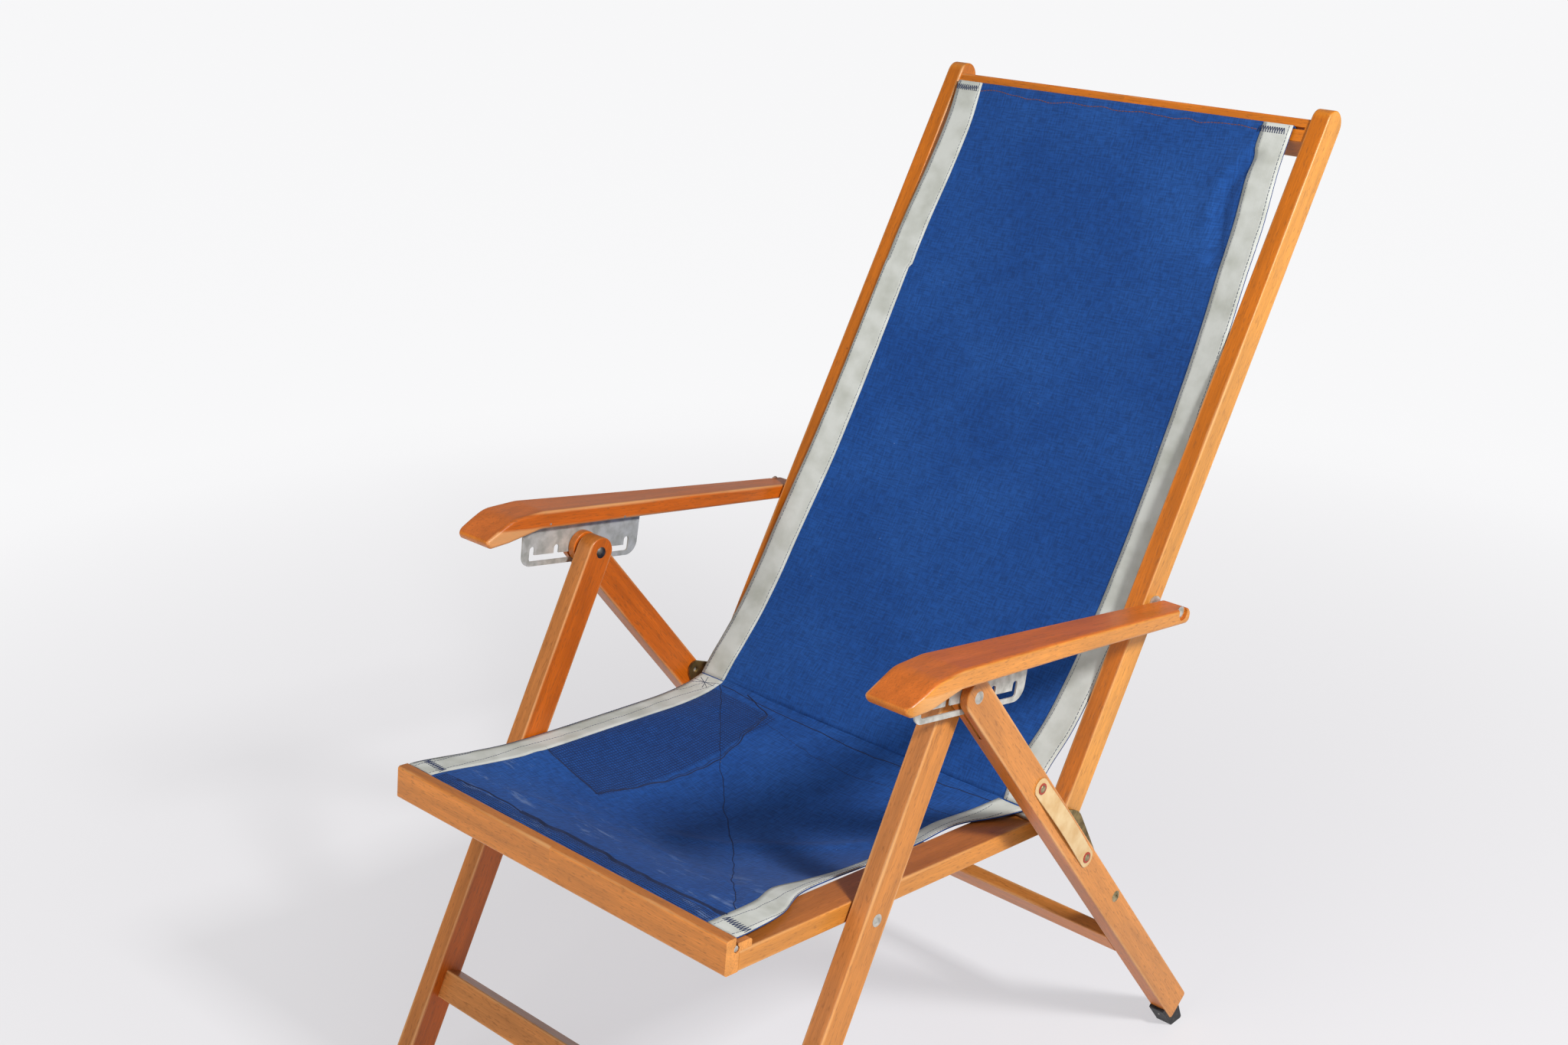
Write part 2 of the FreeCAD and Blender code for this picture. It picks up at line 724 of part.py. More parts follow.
# Arms: flared boards with a turned-down tip, pivoted on the uprights
arm_outer_rear = arm_x + arm_rear_width
arm_outer_front = arm_x + arm_front_width
arm_tip_start = arm_front_reach - arm_tip_length
arm_tip_under = arm_tip_start + arm_tip_length - arm_tip_under_start
arm_brow = arm_front_reach - arm_tip_brow
arm_side = [
    arm_line.at(-arm_rear_reach, -arm_under) + (arm_rear_round,),
    arm_line.at(arm_tip_start, arm_under_rise - arm_under - arm_thick_front + arm_thick_rear) + (arm_under_bend,),
    arm_line.at(arm_tip_under, -arm_tip_drop) + (arm_tip_under_bend,),
    arm_line.at(arm_front_reach - arm_tip_bevel, -arm_tip_drop - arm_tip_bevel_rise) + (arm_tip_low_round,),
    arm_line.at(arm_front_reach, -arm_tip_drop + arm_tip_bevel_rise) + (arm_tip_high_round,),
    arm_line.at(arm_brow, 0) + (arm_brow_bend,),
    arm_line.at(arm_tip_start, arm_thick_rear - arm_under + arm_crown) + (arm_crown_bend,),
    arm_line.at(-arm_rear_reach, arm_thick_rear - arm_under) + (arm_rear_round,),
]
arm_flare_end = arm_front_reach - arm_full_width_before_tip
arm_flare_x = arm_outer_rear + arm_flare_share * (arm_outer_front - arm_outer_rear)
arm_plan = [
    (-arm_rear_reach - 1, arm_x, 0),
    (arm_front_reach + 1, arm_x, 0),
    (arm_front_reach + 1, arm_outer_front - arm_nose_corner, 0),
    (arm_front_reach - arm_nose_length, arm_outer_front - arm_nose_draw, arm_nose_bend),
    (arm_flare_end, arm_outer_front, arm_flare_bend),
    (arm_front_reach - arm_tip_length - arm_flare_start, arm_flare_x, arm_waist_bend),
    (-arm_rear_reach - 1, arm_outer_rear, 0),
]
plan_reach = arm_tip_drop + arm_front_width
plan_corners = [arm_line.vector(along, -plan_reach, x) for along, x, _ in arm_plan]
plan_face = Part.Face(rounded_wire(plan_corners, [radius for _, _, radius in arm_plan]))
plan_through = arm_line.vector(0, plan_reach) - arm_line.vector(0, -plan_reach)
arm_board = slab(arm_side, arm_x, arm_outer_front + 1)
arm = arm_board.common(plan_face.extrude(plan_through))


def runs_lengthwise(edge):
    """True for an edge along the arm, false for one straight across it or straight through it."""
    run = edge.tangentAt((edge.FirstParameter + edge.LastParameter) / 2)
    across = arm_line.vector(0, 1) - arm_line.vector(0, 0)
    return abs(run.x) < 0.9 and abs(run.dot(across)) < 0.98


arm = arm.makeFillet(arm_edge_round, [edge for edge in arm.Edges if runs_lengthwise(edge)])

plate_low = -plate_band_below_pin - plate_band_height - plate_bar_height
plate_points = [
    plate_line.at(-plate_front, plate_embed) + (0,),
    plate_line.at(-plate_front + plate_front_lean, plate_low) + (plate_front_corner,),
    plate_line.at(plate_rear, plate_low) + (plate_rear_corner,),
    plate_line.at(plate_rear, plate_embed) + (0,),
]
plate_low_x = plate_x - plate_thick / 2
plate_high_x = plate_x + plate_thick / 2
plate = slab(plate_points, plate_low_x, plate_high_x)
arm = arm.cut(plate)
notch_radius = notch_width / 2
notch_corner = notch_radius - notch_corner_gap
notch_top = pin_dia / 2 + notch_top_gap
first_notch = -notch_pitch * (notch_count - 1) / 2
band_high = -plate_band_below_pin
band_low = band_high - plate_band_height
band = bar(
    plate_line,
    (first_notch - notch_radius, -first_notch + notch_radius),
    (band_low, band_high),
    (plate_low_x - 1, plate_high_x + 1),
    (notch_corner, notch_corner, 0, 0),
)
plate = plate.cut(band)
for index in range(notch_count):
    middle = first_notch + index * notch_pitch
    notch = bar(
        plate_line,
        (middle - notch_radius, middle + notch_radius),
        (band_high - 1, notch_top),
        (plate_low_x - 1, plate_high_x + 1),
        (0, 0, notch_corner, notch_corner),
    )
    plate = plate.cut(notch)

plate_nails = []
for along in plate_nail_spots:
    spot = plate_line.at(along, plate_nail_height)
    nail = rod(spot, plate_nail_dia / 2, arm_x, arm_x + plate_nail_length)
    opening = hole(spot, plate_nail_dia, arm_x - 1, arm_x + plate_nail_length)
    plate = plate.cut(opening)
    arm = arm.cut(opening)
    plate_nails += pair(nail)
add_pair("notch_plate", plate)
pieces["plate_nails"] = plate_nails

recess_x = arm_outer_rear - arm_recess_depth
arm = arm.cut(hole(arm_bolt, bolt_dia, arm_x - 1, arm_outer_front))
arm = arm.cut(rod(arm_bolt, arm_recess_dia / 2, recess_x, arm_outer_front))
add_pair("armrest", arm)
arm_screw = rod(arm_bolt, bolt_dia / 2, upright_x, recess_x + head_gap)
arm_screw = arm_screw.fuse(dome(arm_bolt, head_dia, head_height, recess_x + head_gap, 1))
pieces["arm_bolts"] = pair(arm_screw)
pieces["arm_bolt_washers"] = pair(
    ring(arm_bolt, small_washer_dia, bolt_dia, upright_outer_x + head_gap, arm_x - head_gap)
)


# Floor glides: caps nailed round the lower inner corner of each leg, flat on the floor
def glide(lie, length, face, outward):
    """Cap round the end corner of a leg, its lower side cut to the floor."""
    start = length - glide_lap
    skin = face + outward * glide_thick
    floor_z = -floor_below_top_pivot
    reach = (floor_z - lie.at(0, skin)[1]) / lie.along[1]
    toe = lie.at(reach, skin)
    heel_y = toe[0] + math.copysign(glide_foot, lie.along[0])
    cover = lie.at(length, face - outward * glide_end_cover)
    points = [
        lie.at(start, face) + (0,),
        lie.at(start, skin) + (glide_lip_round,),
        toe + (glide_foot_round,),
        (heel_y, floor_z, glide_foot_round),
        cover + (0,),
        lie.at(length, face) + (0,),
    ]
    return points


glides = {}
glide_pins = []
for name, lie, length, face, outward, layer in (
    ("front_glides", front_line, front_leg_length, front_leg_width / 2, 1, (front_leg_x, front_leg_outer_x)),
    ("rear_glides", rear_line, rear_leg_length, -rear_leg_width / 2, -1, (rear_leg_x, rear_leg_outer_x)),
):
    cap = slab(glide(lie, length, face, outward), layer[0] + glide_side_inset, layer[1] - glide_side_inset)
    middle_x = (layer[0] + layer[1]) / 2
    nail_start = lie.vector(length - glide_lap / 2, face + outward * glide_thick, middle_x)
    nail_run = lie.vector(length - glide_lap / 2, face, middle_x) - nail_start
    nail = Part.makeCylinder(glide_pin_dia / 2, glide_pin_length, nail_start, nail_run)
    nail_way = Part.makeCylinder(glide_pin_dia / 2 + running_gap, glide_pin_length, nail_start, nail_run)
    glides[name] = pair(cap.cut(nail_way))
    pieces[name] = glides[name]
    pieces[name[:-1] + "_nails"] = pair(nail)
    leg = name.split("_")[0] + "_leg"
    pieces[leg + "_left"] = [pieces[leg + "_left"][0].cut(nail_way)]
    pieces[leg + "_right"] = [mirrored(pieces[leg + "_left"][0])]

# Canvas: one length from the front rail's groove, over the cross rod, up to the top rail's groove.
# The seat half is slack: its left border rests on the rail, its middle hangs, and its right border
# has slipped off the rail's inner edge
seat_low = front_rail_back_height + canvas_lift
seat_end = seat_pivot_to_back_hinge - cross_rod_before_hinge
end_rise = seat_low - rail_above_pivot
border_x = rail_inner_x - border_inside_rail
flat_station = (end_rise, end_rise - seat_end_dip, end_rise, end_rise)
flat_station += (rail_inner_x - seat_canvas_right + tape_width, rail_inner_x - seat_canvas_right)
stations = [(front_rail_back,) + flat_station]
stations += [(front_rail_back + s[0],) + s[1:] for s in seat_front_stations]
stations += [(seat_end - s[0],) + s[1:] for s in seat_rear_stations]
stations += [(seat_end - cross_rod_dia / 2 - seat_rod_clearance,) + flat_station]
stations += [(seat_end,) + flat_station]


def seat_place(along, above, x, lift):
    return seat_line.vector(along, rail_above_pivot + above + lift, x)


def hanging_section(station, lift, thick):
    """Cut through the seat canvas at one station: flat border, hanging arc, right border."""
    along, left_up, middle_up, fold_up, edge_up, fold_in, edge_in = station
    edges = []
    ends = []
    for rise in (lift, lift + thick):
        left = seat_place(along, left_up, -seat_canvas_left, rise)
        bend = seat_place(along, left_up, -border_x, rise)
        fold = seat_place(along, fold_up, rail_inner_x - fold_in, rise)
        edge = seat_place(along, edge_up, rail_inner_x - edge_in, rise)
        middle = seat_place(along, middle_up, (bend.x + fold.x) / 2, rise)
        edges.append([Part.makeLine(left, bend), Part.Arc(bend, middle, fold).toShape(), Part.makeLine(fold, edge)])
        ends.append((left, edge))
    right_end = Part.makeLine(ends[0][1], ends[1][1])
    left_end = Part.makeLine(ends[1][0], ends[0][0])
    return Part.Wire(edges[0] + [right_end] + edges[1][::-1] + [left_end])


def border_section(station, side, lift, thick):
    """Cut through one edge tape at one station, on the canvas border."""
    along, left_up, _, fold_up, edge_up, fold_in, edge_in = station
    if side == "left":
        spots = [(left_up, -seat_canvas_left), (left_up, -seat_canvas_left + tape_width)]
    else:
        spots = [(fold_up, rail_inner_x - fold_in), (edge_up, rail_inner_x - edge_in)]
    corners = [seat_place(along, up, x, lift) for up, x in spots]
    corners += [seat_place(along, up, x, lift + thick) for up, x in reversed(spots)]
    return Part.makePolygon(corners + corners[:1])


seat_path = [
    (groove_along + canvas_thick / 2, keyhole_height + hem_rod_dia / 2),
    (groove_along + canvas_thick / 2, seat_low),
    (front_rail_back, seat_low),
]
seat_hem = ribbon(seat_line, seat_path, canvas_thick, -seat_canvas_left, seat_canvas_right)
seat_hanging = Part.makeLoft([hanging_section(s, 0, canvas_thick) for s in stations], True, True)
seat_canvas = seat_hem.fuse(seat_hanging)
tape_lift = canvas_thick + tape_gap
seat_tape_path = [(groove_along + groove_width, seat_low), (front_rail_back, seat_low)]
seat_tapes = []
for side, x_from in (("left", -seat_canvas_left), ("right", seat_canvas_right - tape_width)):
    tape_start = ribbon(seat_line, seat_tape_path, tape_thick, x_from, x_from + tape_width, tape_lift)
    tape_run = [border_section(s, side, tape_lift, tape_thick) for s in stations]
    seat_tapes.append(tape_start.fuse(Part.makeLoft(tape_run, True, True)).removeSplitter())

back_low = -upright_width / 2 - upright_lift
groove_mid = groove_high - groove_width / 2
back_path = [
    (crease_along, -crease_before),
    (canvas_meets_back, back_low),
    (groove_mid - canvas_thick / 2, back_low),
    (groove_mid - canvas_thick / 2, top_rail_front + keyhole_depth - hem_rod_dia / 2 - canvas_lift),
]
canvas_top = groove_mid + canvas_thick
left_edge = [(along, -x) for along, x in back_left_from_hinge]
left_edge += [(canvas_top - down, -x) for down, x in back_left_from_top]
right_edge = list(back_right_from_hinge)
right_edge += [(canvas_top - down, x) for down, x in back_right_from_top]
canvas_wide = max(abs(x) for _, x in left_edge + right_edge) + 1
back_sheet = ribbon(back_line, back_path, canvas_thick, -canvas_wide, canvas_wide)
sheet_reach = 2 * crease_before
back_canvas = back_sheet.common(strip_outline(back_line, left_edge, right_edge, sheet_reach))
tape_path = back_path[:2] + [(groove_mid - groove_width, back_low)]
tape_sheet = ribbon(back_line, tape_path, tape_thick, -canvas_wide, canvas_wide, tape_lift)
back_tapes = []
for edge, inward in ((left_edge, tape_width), (right_edge, -tape_width)):
    inner_edge = [(along, x + inward) for along, x in edge]
    back_tapes.append(tape_sheet.common(strip_outline(back_line, edge, inner_edge, sheet_reach)))
pieces["seat_canvas"] = [seat_canvas]
pieces["seat_edge_tapes"] = seat_tapes
pieces["back_canvas"] = [back_canvas]
pieces["back_edge_tapes"] = back_tapes

# The chair's own frame: floor at zero, centred front to back and side to side
shapes = {name: Part.makeCompound(solids) for name, solids in pieces.items()}
whole = Part.makeCompound(list(shapes.values())).optimalBoundingBox(False, False)
shift = FreeCAD.Vector(0, -(whole.YMin + whole.YMax) / 2, -whole.ZMin)
os.makedirs("parts", exist_ok=True)
for name, shape in shapes.items():
    shape.translate(shift)
    shape.exportStep("parts/" + name + ".step")
    print(name, len(shape.Solids), shape.isValid(), round(shape.Volume, 1))
for name, place in (
    ("top pivot", top_pivot),
    ("seat pivot", seat_pivot),
    ("back hinge", back_hinge),
    ("link bolt", link_bolt),
    ("arm bolt", arm_bolt),
):
    print(name, round(place[0] + shift.y, 3), round(place[1] + shift.z, 3))
print("size", round(whole.XLength, 2), round(whole.YLength, 2), round(whole.ZLength, 2))
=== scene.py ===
import math
import bpy
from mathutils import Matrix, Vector, noise


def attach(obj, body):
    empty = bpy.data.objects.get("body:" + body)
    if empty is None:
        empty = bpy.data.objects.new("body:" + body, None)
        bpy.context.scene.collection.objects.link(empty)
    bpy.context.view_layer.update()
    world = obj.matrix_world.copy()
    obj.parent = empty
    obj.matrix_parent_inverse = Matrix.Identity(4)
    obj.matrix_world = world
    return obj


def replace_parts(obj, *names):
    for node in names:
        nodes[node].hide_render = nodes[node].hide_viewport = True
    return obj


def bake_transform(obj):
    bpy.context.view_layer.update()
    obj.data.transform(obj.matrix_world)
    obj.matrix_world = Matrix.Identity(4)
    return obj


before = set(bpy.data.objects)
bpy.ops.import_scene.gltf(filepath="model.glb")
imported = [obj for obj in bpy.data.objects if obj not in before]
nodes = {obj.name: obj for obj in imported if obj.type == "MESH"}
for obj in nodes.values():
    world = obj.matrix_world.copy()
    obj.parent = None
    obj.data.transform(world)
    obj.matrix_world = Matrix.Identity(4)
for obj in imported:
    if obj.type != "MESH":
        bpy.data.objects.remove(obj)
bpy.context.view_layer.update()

# Legs and stretchers
# Straight beech boards, planed, stained honey and varnished, with soft sanded edges. A stretcher
# is tenoned between each pair of legs near the floor.
top_pivot = (-156.961, 570.0)
front_leg_slope = -119.63
rear_leg_slope = -53.30


def linear(colour):
    """An sRGB hex colour as the linear colour that a socket holds."""
    parts = [int(colour[i:i + 2], 16) / 255 for i in (1, 3, 5)]
    return [p / 12.92 if p <= 0.04045 else ((p + 0.055) / 1.055) ** 2.4 for p in parts] + [1.0]


def put(tree, kind, sockets=None, **settings):
    """Adds a node with its settings; a socket gets a value or another node's output."""
    node = tree.nodes.new(kind)
    for name, value in settings.items():
        setattr(node, name, value)
    for name, value in (sockets or {}).items():
        if isinstance(value, bpy.types.NodeSocket):
            tree.links.new(value, node.inputs[name])
        else:
            node.inputs[name].default_value = value
    return node


def finish_of(name):
    """A new material, with its node tree and its shader."""
    material = bpy.data.materials.new(name)
    material.use_nodes = True
    return material, material.node_tree, material.node_tree.nodes["Principled BSDF"]


def varnished_beech(name, origin, slope, section, lengthwise, faces, seed):
    """Varnished beech. The board's line starts at origin (y, z in mm) and rises at slope; section
    holds the middle and half size of its two cut directions, and faces the colours of its outer
    side, inner side, front and top. These face tones are partly the wood's own and partly painted
    light and shade for the way each face is turned; the inner side's deep orange is a painted
    shade.
    Varnish gives a satin gloss, wear and a painted highlight give pale arrises, beech its short
    dark flecks."""
    material, tree, shader = finish_of(name)
    turn = math.radians(slope)
    along = math.cos(turn) * origin[0] + math.sin(turn) * origin[1]
    across = math.cos(turn) * origin[1] - math.sin(turn) * origin[0]
    spot = put(tree, "ShaderNodeTexCoord")
    board = put(tree, "ShaderNodeMapping", {
        "Vector": spot.outputs["Object"],
        "Rotation": (-turn, 0, 0),
        "Location": (0, -along / 1000, -across / 1000),
    })
    parts = put(tree, "ShaderNodeSeparateXYZ", {0: board.outputs[0]})
    wide = put(tree, "ShaderNodeMath", {0: parts.outputs[0]}, operation="ABSOLUTE")
    if lengthwise:
        run, first = parts.outputs[1], wide.outputs[0]
    else:
        run, first = parts.outputs[0], parts.outputs[1]
    (first_middle, first_half), (second_middle, second_half) = section
    one = put(tree, "ShaderNodeMath", {0: first, 1: first_middle / 1000}, operation="SUBTRACT")
    two = put(tree, "ShaderNodeMath", {
        0: parts.outputs[2], 1: second_middle / 1000,
    }, operation="SUBTRACT")
    side_of_chair = put(tree, "ShaderNodeMath", {0: parts.outputs[0]}, operation="SIGN")
    plank = put(tree, "ShaderNodeMath", {
        0: side_of_chair.outputs[0], 1: 3.7, 2: seed,
    }, operation="MULTIPLY_ADD")

    # Figure 15 mm wide, fibre 1.2 mm and flecks 1.6 by 8 mm, all drawn out along the board, then
    # stains of 60 mm and knocks about 24 mm apart
    def stretched(share):
        squeezed = put(tree, "ShaderNodeMath", {0: run, 1: share}, operation="MULTIPLY")
        return put(tree, "ShaderNodeCombineXYZ", {
            0: squeezed.outputs[0], 1: one.outputs[0], 2: two.outputs[0],
        }).outputs[0]

    figure, fibre, fleck, blotch = [
        put(tree, "ShaderNodeTexNoise", {
            "Vector": stretched(share), "W": plank.outputs[0], "Scale": scale, "Detail": detail,
            "Distortion": bend,
        }, noise_dimensions="4D")
        for share, scale, detail, bend in (
            (0.07, 66, 4, 0.5), (0.04, 800, 2, 0), (0.2, 600, 1, 0), (0.5, 16, 4, 0),
        )
    ]
    knock = put(tree, "ShaderNodeTexVoronoi", {
        "Vector": stretched(0.8), "W": plank.outputs[0], "Scale": 42,
    }, voronoi_dimensions="4D")

    # The faces' tones, partly the wood's own and partly painted light and shade by which way each
    # face turns, then deepened and lightened by figure, stains and fibre
    facing = put(tree, "ShaderNodeSeparateXYZ", {0: spot.outputs["Normal"]})
    sideways = put(tree, "ShaderNodeMath", {0: facing.outputs[0]}, operation="ABSOLUTE")
    side_share = put(tree, "ShaderNodeMapRange", {
        "Value": sideways.outputs[0], "From Min": 0.35, "From Max": 0.75,
    })
    top_share = put(tree, "ShaderNodeMapRange", {
        "Value": facing.outputs[2], "From Min": 0.45, "From Max": 0.8,
    })
    # Faces turned toward the chair's middle take the inner tone, a painted shade
    outward = put(tree, "ShaderNodeMath", {
        0: facing.outputs[0], 1: side_of_chair.outputs[0],
    }, operation="MULTIPLY")
    inner = put(tree, "ShaderNodeMath", {0: outward.outputs[0], 1: 0}, operation="LESS_THAN")
    tone = put(tree, "ShaderNodeMix", {
        0: inner.outputs[0], 6: linear(faces[0]), 7: linear(faces[1]),
    }, data_type="RGBA")
    tone = put(tree, "ShaderNodeMix", {
        0: side_share.outputs[0], 6: linear(faces[2]), 7: tone.outputs[2],
    }, data_type="RGBA")
    tone = put(tree, "ShaderNodeMix", {
        0: top_share.outputs[0], 6: tone.outputs[2], 7: linear(faces[3]),
    }, data_type="RGBA")
    depth = put(tree, "ShaderNodeMapRange", {
        "Value": figure.outputs[0], "From Min": 0.32, "From Max": 0.68,
        "To Min": 0.8, "To Max": 1.12,
    })
    patch = put(tree, "ShaderNodeMapRange", {
        "Value": blotch.outputs[0], "From Min": 0.3, "From Max": 0.7,
        "To Min": 0.86, "To Max": 1.08,
    })
    strand = put(tree, "ShaderNodeMapRange", {
        "Value": fibre.outputs[0], "From Min": 0.3, "From Max": 0.7, "To Min": 0.88, "To Max": 1.1,
    })
    deep = put(tree, "ShaderNodeMath", {
        0: depth.outputs[0], 1: patch.outputs[0],
    }, operation="MULTIPLY")
    deep = put(tree, "ShaderNodeMath", {
        0: deep.outputs[0], 1: strand.outputs[0],
    }, operation="MULTIPLY")
    grained = put(tree, "ShaderNodeHueSaturation", {
        "Color": tone.outputs[2], "Value": deep.outputs[0],
    })
    speck = put(tree, "ShaderNodeMapRange", {
        "Value": fleck.outputs[0], "From Min": 0.57, "From Max": 0.7, "To Min": 0, "To Max": 0.42,
    })
    flecked = put(tree, "ShaderNodeMix", {
        0: speck.outputs[0], 6: grained.outputs[0], 7: linear("#7E4A1E"),
    }, data_type="RGBA")

    # Pale over about 3 mm beside each long arris: varnish worn by sanding and use, and a painted
    # highlight where the rounded arris catches the light
    first_off = put(tree, "ShaderNodeMath", {0: one.outputs[0]}, operation="ABSOLUTE")
    first_gap = put(tree, "ShaderNodeMath", {
        0: first_half / 1000, 1: first_off.outputs[0],
    }, operation="SUBTRACT")
    second_off = put(tree, "ShaderNodeMath", {0: two.outputs[0]}, operation="ABSOLUTE")
    second_gap = put(tree, "ShaderNodeMath", {
        0: second_half / 1000, 1: second_off.outputs[0],
    }, operation="SUBTRACT")
    arris = put(tree, "ShaderNodeMath", {
        0: first_gap.outputs[0], 1: second_gap.outputs[0],
    }, operation="MAXIMUM")
    ragged = put(tree, "ShaderNodeMath", {
        0: blotch.outputs[0], 1: 0.008, 2: arris.outputs[0],
    }, operation="MULTIPLY_ADD")
    worn = put(tree, "ShaderNodeMapRange", {
        "Value": ragged.outputs[0], "From Min": 0.0036, "From Max": 0.0066,
        "To Min": 0.62, "To Max": 0,
    })
    rubbed_and_highlit = put(tree, "ShaderNodeMix", {
        0: worn.outputs[0], 6: flecked.outputs[2], 7: linear("#E3AE74"),
    }, data_type="RGBA")

    # Dark knocks on about a quarter of their places
    dent = put(tree, "ShaderNodeMapRange", {
        "Value": knock.outputs["Distance"], "From Min": 0.03, "From Max": 0.075,
        "To Min": 1, "To Max": 0,
    })
    pick = put(tree, "ShaderNodeSeparateXYZ", {0: knock.outputs["Color"]})
    rare = put(tree, "ShaderNodeMath", {0: pick.outputs[0], 1: 0.72}, operation="GREATER_THAN")
    mark = put(tree, "ShaderNodeMath", {
        0: dent.outputs[0], 1: rare.outputs[0],
    }, operation="MULTIPLY")
    mark = put(tree, "ShaderNodeMath", {0: mark.outputs[0], 1: 0.6}, operation="MULTIPLY")
    marked = put(tree, "ShaderNodeMix", {
        0: mark.outputs[0], 6: rubbed_and_highlit.outputs[2], 7: linear("#5B3216"),
    }, data_type="RGBA")
    dulled = put(tree, "ShaderNodeMapRange", {
        "Value": blotch.outputs[0], "From Min": 0.3, "From Max": 0.7, "To Min": 0.3, "To Max": 0.46,
    })
    height = put(tree, "ShaderNodeMath", {
        0: fibre.outputs[0], 1: speck.outputs[0],
    }, operation="SUBTRACT")
    relief = put(tree, "ShaderNodeBump", {
        "Strength": 0.25, "Distance": 0.0004, "Height": height.outputs[0],
    })
    tree.links.new(marked.outputs[2], shader.inputs["Base Color"])
    tree.links.new(dulled.outputs[0], shader.inputs["Roughness"])
    tree.links.new(relief.outputs[0], shader.inputs["Normal"])
    shader.inputs["Specular IOR Level"].default_value = 0.35
    shader.inputs["Coat Weight"].default_value = 0.12
    shader.inputs["Coat Roughness"].default_value = 0.25
    return material


def finished(material, *names):
    """Gives CAD pieces their finish."""
    for name in names:
        held = nodes[name].data.materials
        if len(held) == 0:
            held.append(material)
        for index in range(len(held)):
            held[index] = material


# The second tone of each board, for its inner sides, is a painted shade; the others partly carry
# painted light and shade
finished(varnished_beech(
    "varnished_beech_front_legs", top_pivot, front_leg_slope, ((250.5, 11), (0, 17)), True,
    ("#CF8335", "#D06611", "#CA7E3E", "#B86E2E"), 1.0,
), "front_leg_left", "front_leg_right")
finished(varnished_beech(
    "varnished_beech_rear_legs", top_pivot, rear_leg_slope, ((275, 10.5), (0, 17.8)), True,
    ("#D0863D", "#D06611", "#C97022", "#C97022"), 2.0,
), "rear_leg_left", "rear_leg_right")
finished(varnished_beech(
    "varnished_beech_front_stretcher", top_pivot, front_leg_slope, ((500.9, 15.4), (6, 11)), False,
    ("#C87C34", "#D06614", "#CA8344", "#BE7435"), 3.0,
), "front_stretcher")
finished(varnished_beech(
    "varnished_beech_rear_stretcher", top_pivot, rear_leg_slope, ((505.7, 17.7), (-10.7, 7.2)),
    False, ("#C87C34", "#D06614", "#D2792A", "#C87D38"), 4.0,
), "rear_stretcher")

# Floor glides
# Moulded caps of black plastic, each nailed round the lower inner corner of a leg. The mould
# leaves an even matt face, and use leaves it scuffed grey.


def two_toned(name, first, second, spots, depth, low, high, gloss):
    """A plain finish whose colour wanders between two in spots of 1000 / spots mm, changing where
    their noise lies between low and high."""
    material, tree, shader = finish_of(name)
    spot = put(tree, "ShaderNodeTexCoord")
    cloud = put(tree, "ShaderNodeTexNoise", {
        "Vector": spot.outputs["Object"], "Scale": spots, "Detail": depth,
    })
    share = put(tree, "ShaderNodeMapRange", {
        "Value": cloud.outputs[0], "From Min": low, "From Max": high,
    })
    tone = put(tree, "ShaderNodeMix", {
        0: share.outputs[0], 6: linear(first), 7: linear(second),
    }, data_type="RGBA")
    tree.links.new(tone.outputs[2], shader.inputs["Base Color"])
    shader.inputs["Roughness"].default_value = gloss
    return material


glide_plastic = two_toned("moulded_black_plastic", "#17171A", "#3A3A3C", 220, 4, 0.5, 0.75, 0.55)
finished(glide_plastic, "front_glides", "rear_glides")

# Pivot hardware
# Turned and stamped steel, zinc plated and gone dull: rivets, bolts, nuts, washers, nails and the
# rods in the hems. Dull plating gives a soft grey gloss with darker blooms.


def dull_metal(name, bright, dark, gloss, bloom_size, bare=1.0):
    """Plated steel gone dull, with blooms of tarnish of about bloom_size mm. Where its plating has
    turned to pale oxide, less than all of it is bare metal."""
    material, tree, shader = finish_of(name)
    spot = put(tree, "ShaderNodeTexCoord")
    bloom = put(tree, "ShaderNodeTexNoise", {
        "Vector": spot.outputs["Object"], "Scale": 1000 / bloom_size, "Detail": 5,
    })
    share = put(tree, "ShaderNodeMapRange", {
        "Value": bloom.outputs[0], "From Min": 0.38, "From Max": 0.66,
    })
    tone = put(tree, "ShaderNodeMix", {
        0: share.outputs[0], 6: linear(bright), 7: linear(dark),
    }, data_type="RGBA")
    rough = put(tree, "ShaderNodeMapRange", {
        "Value": bloom.outputs[0], "From Min": 0.3, "From Max": 0.7,
        "To Min": gloss, "To Max": gloss + 0.2,
    })
    relief = put(tree, "ShaderNodeBump", {
        "Strength": 0.2, "Distance": 0.0002, "Height": bloom.outputs[0],
    })
    tree.links.new(tone.outputs[2], shader.inputs["Base Color"])
    tree.links.new(rough.outputs[0], shader.inputs["Roughness"])
    tree.links.new(relief.outputs[0], shader.inputs["Normal"])
    shader.inputs["Metallic"].default_value = bare
    return material


plated_steel = dull_metal("zinc_plated_steel", "#CFCCC4", "#A09D95", 0.34, 7, 0.65)
finished(
    plated_steel, "front_glide_nails", "rear_glide_nails", "top_pivot_outer_rivets",
    "top_pivot_washers", "seat_pivot_bolts", "seat_pivot_nuts", "seat_pivot_washers", "hinge_pins",
    "hinge_pin_rivets", "hinge_nuts", "hinge_washers", "plate_nails", "arm_bolts",
    "arm_bolt_washers", "lock_pins", "seat_hem_rod", "top_hem_rod", "seat_cross_rod",
)

# Darker steel for the rivets inside the top pivots
finished(dull_metal("darker_pivot_steel", "#77726C", "#4A443E", 0.4, 5), "top_pivot_inner_rivets")

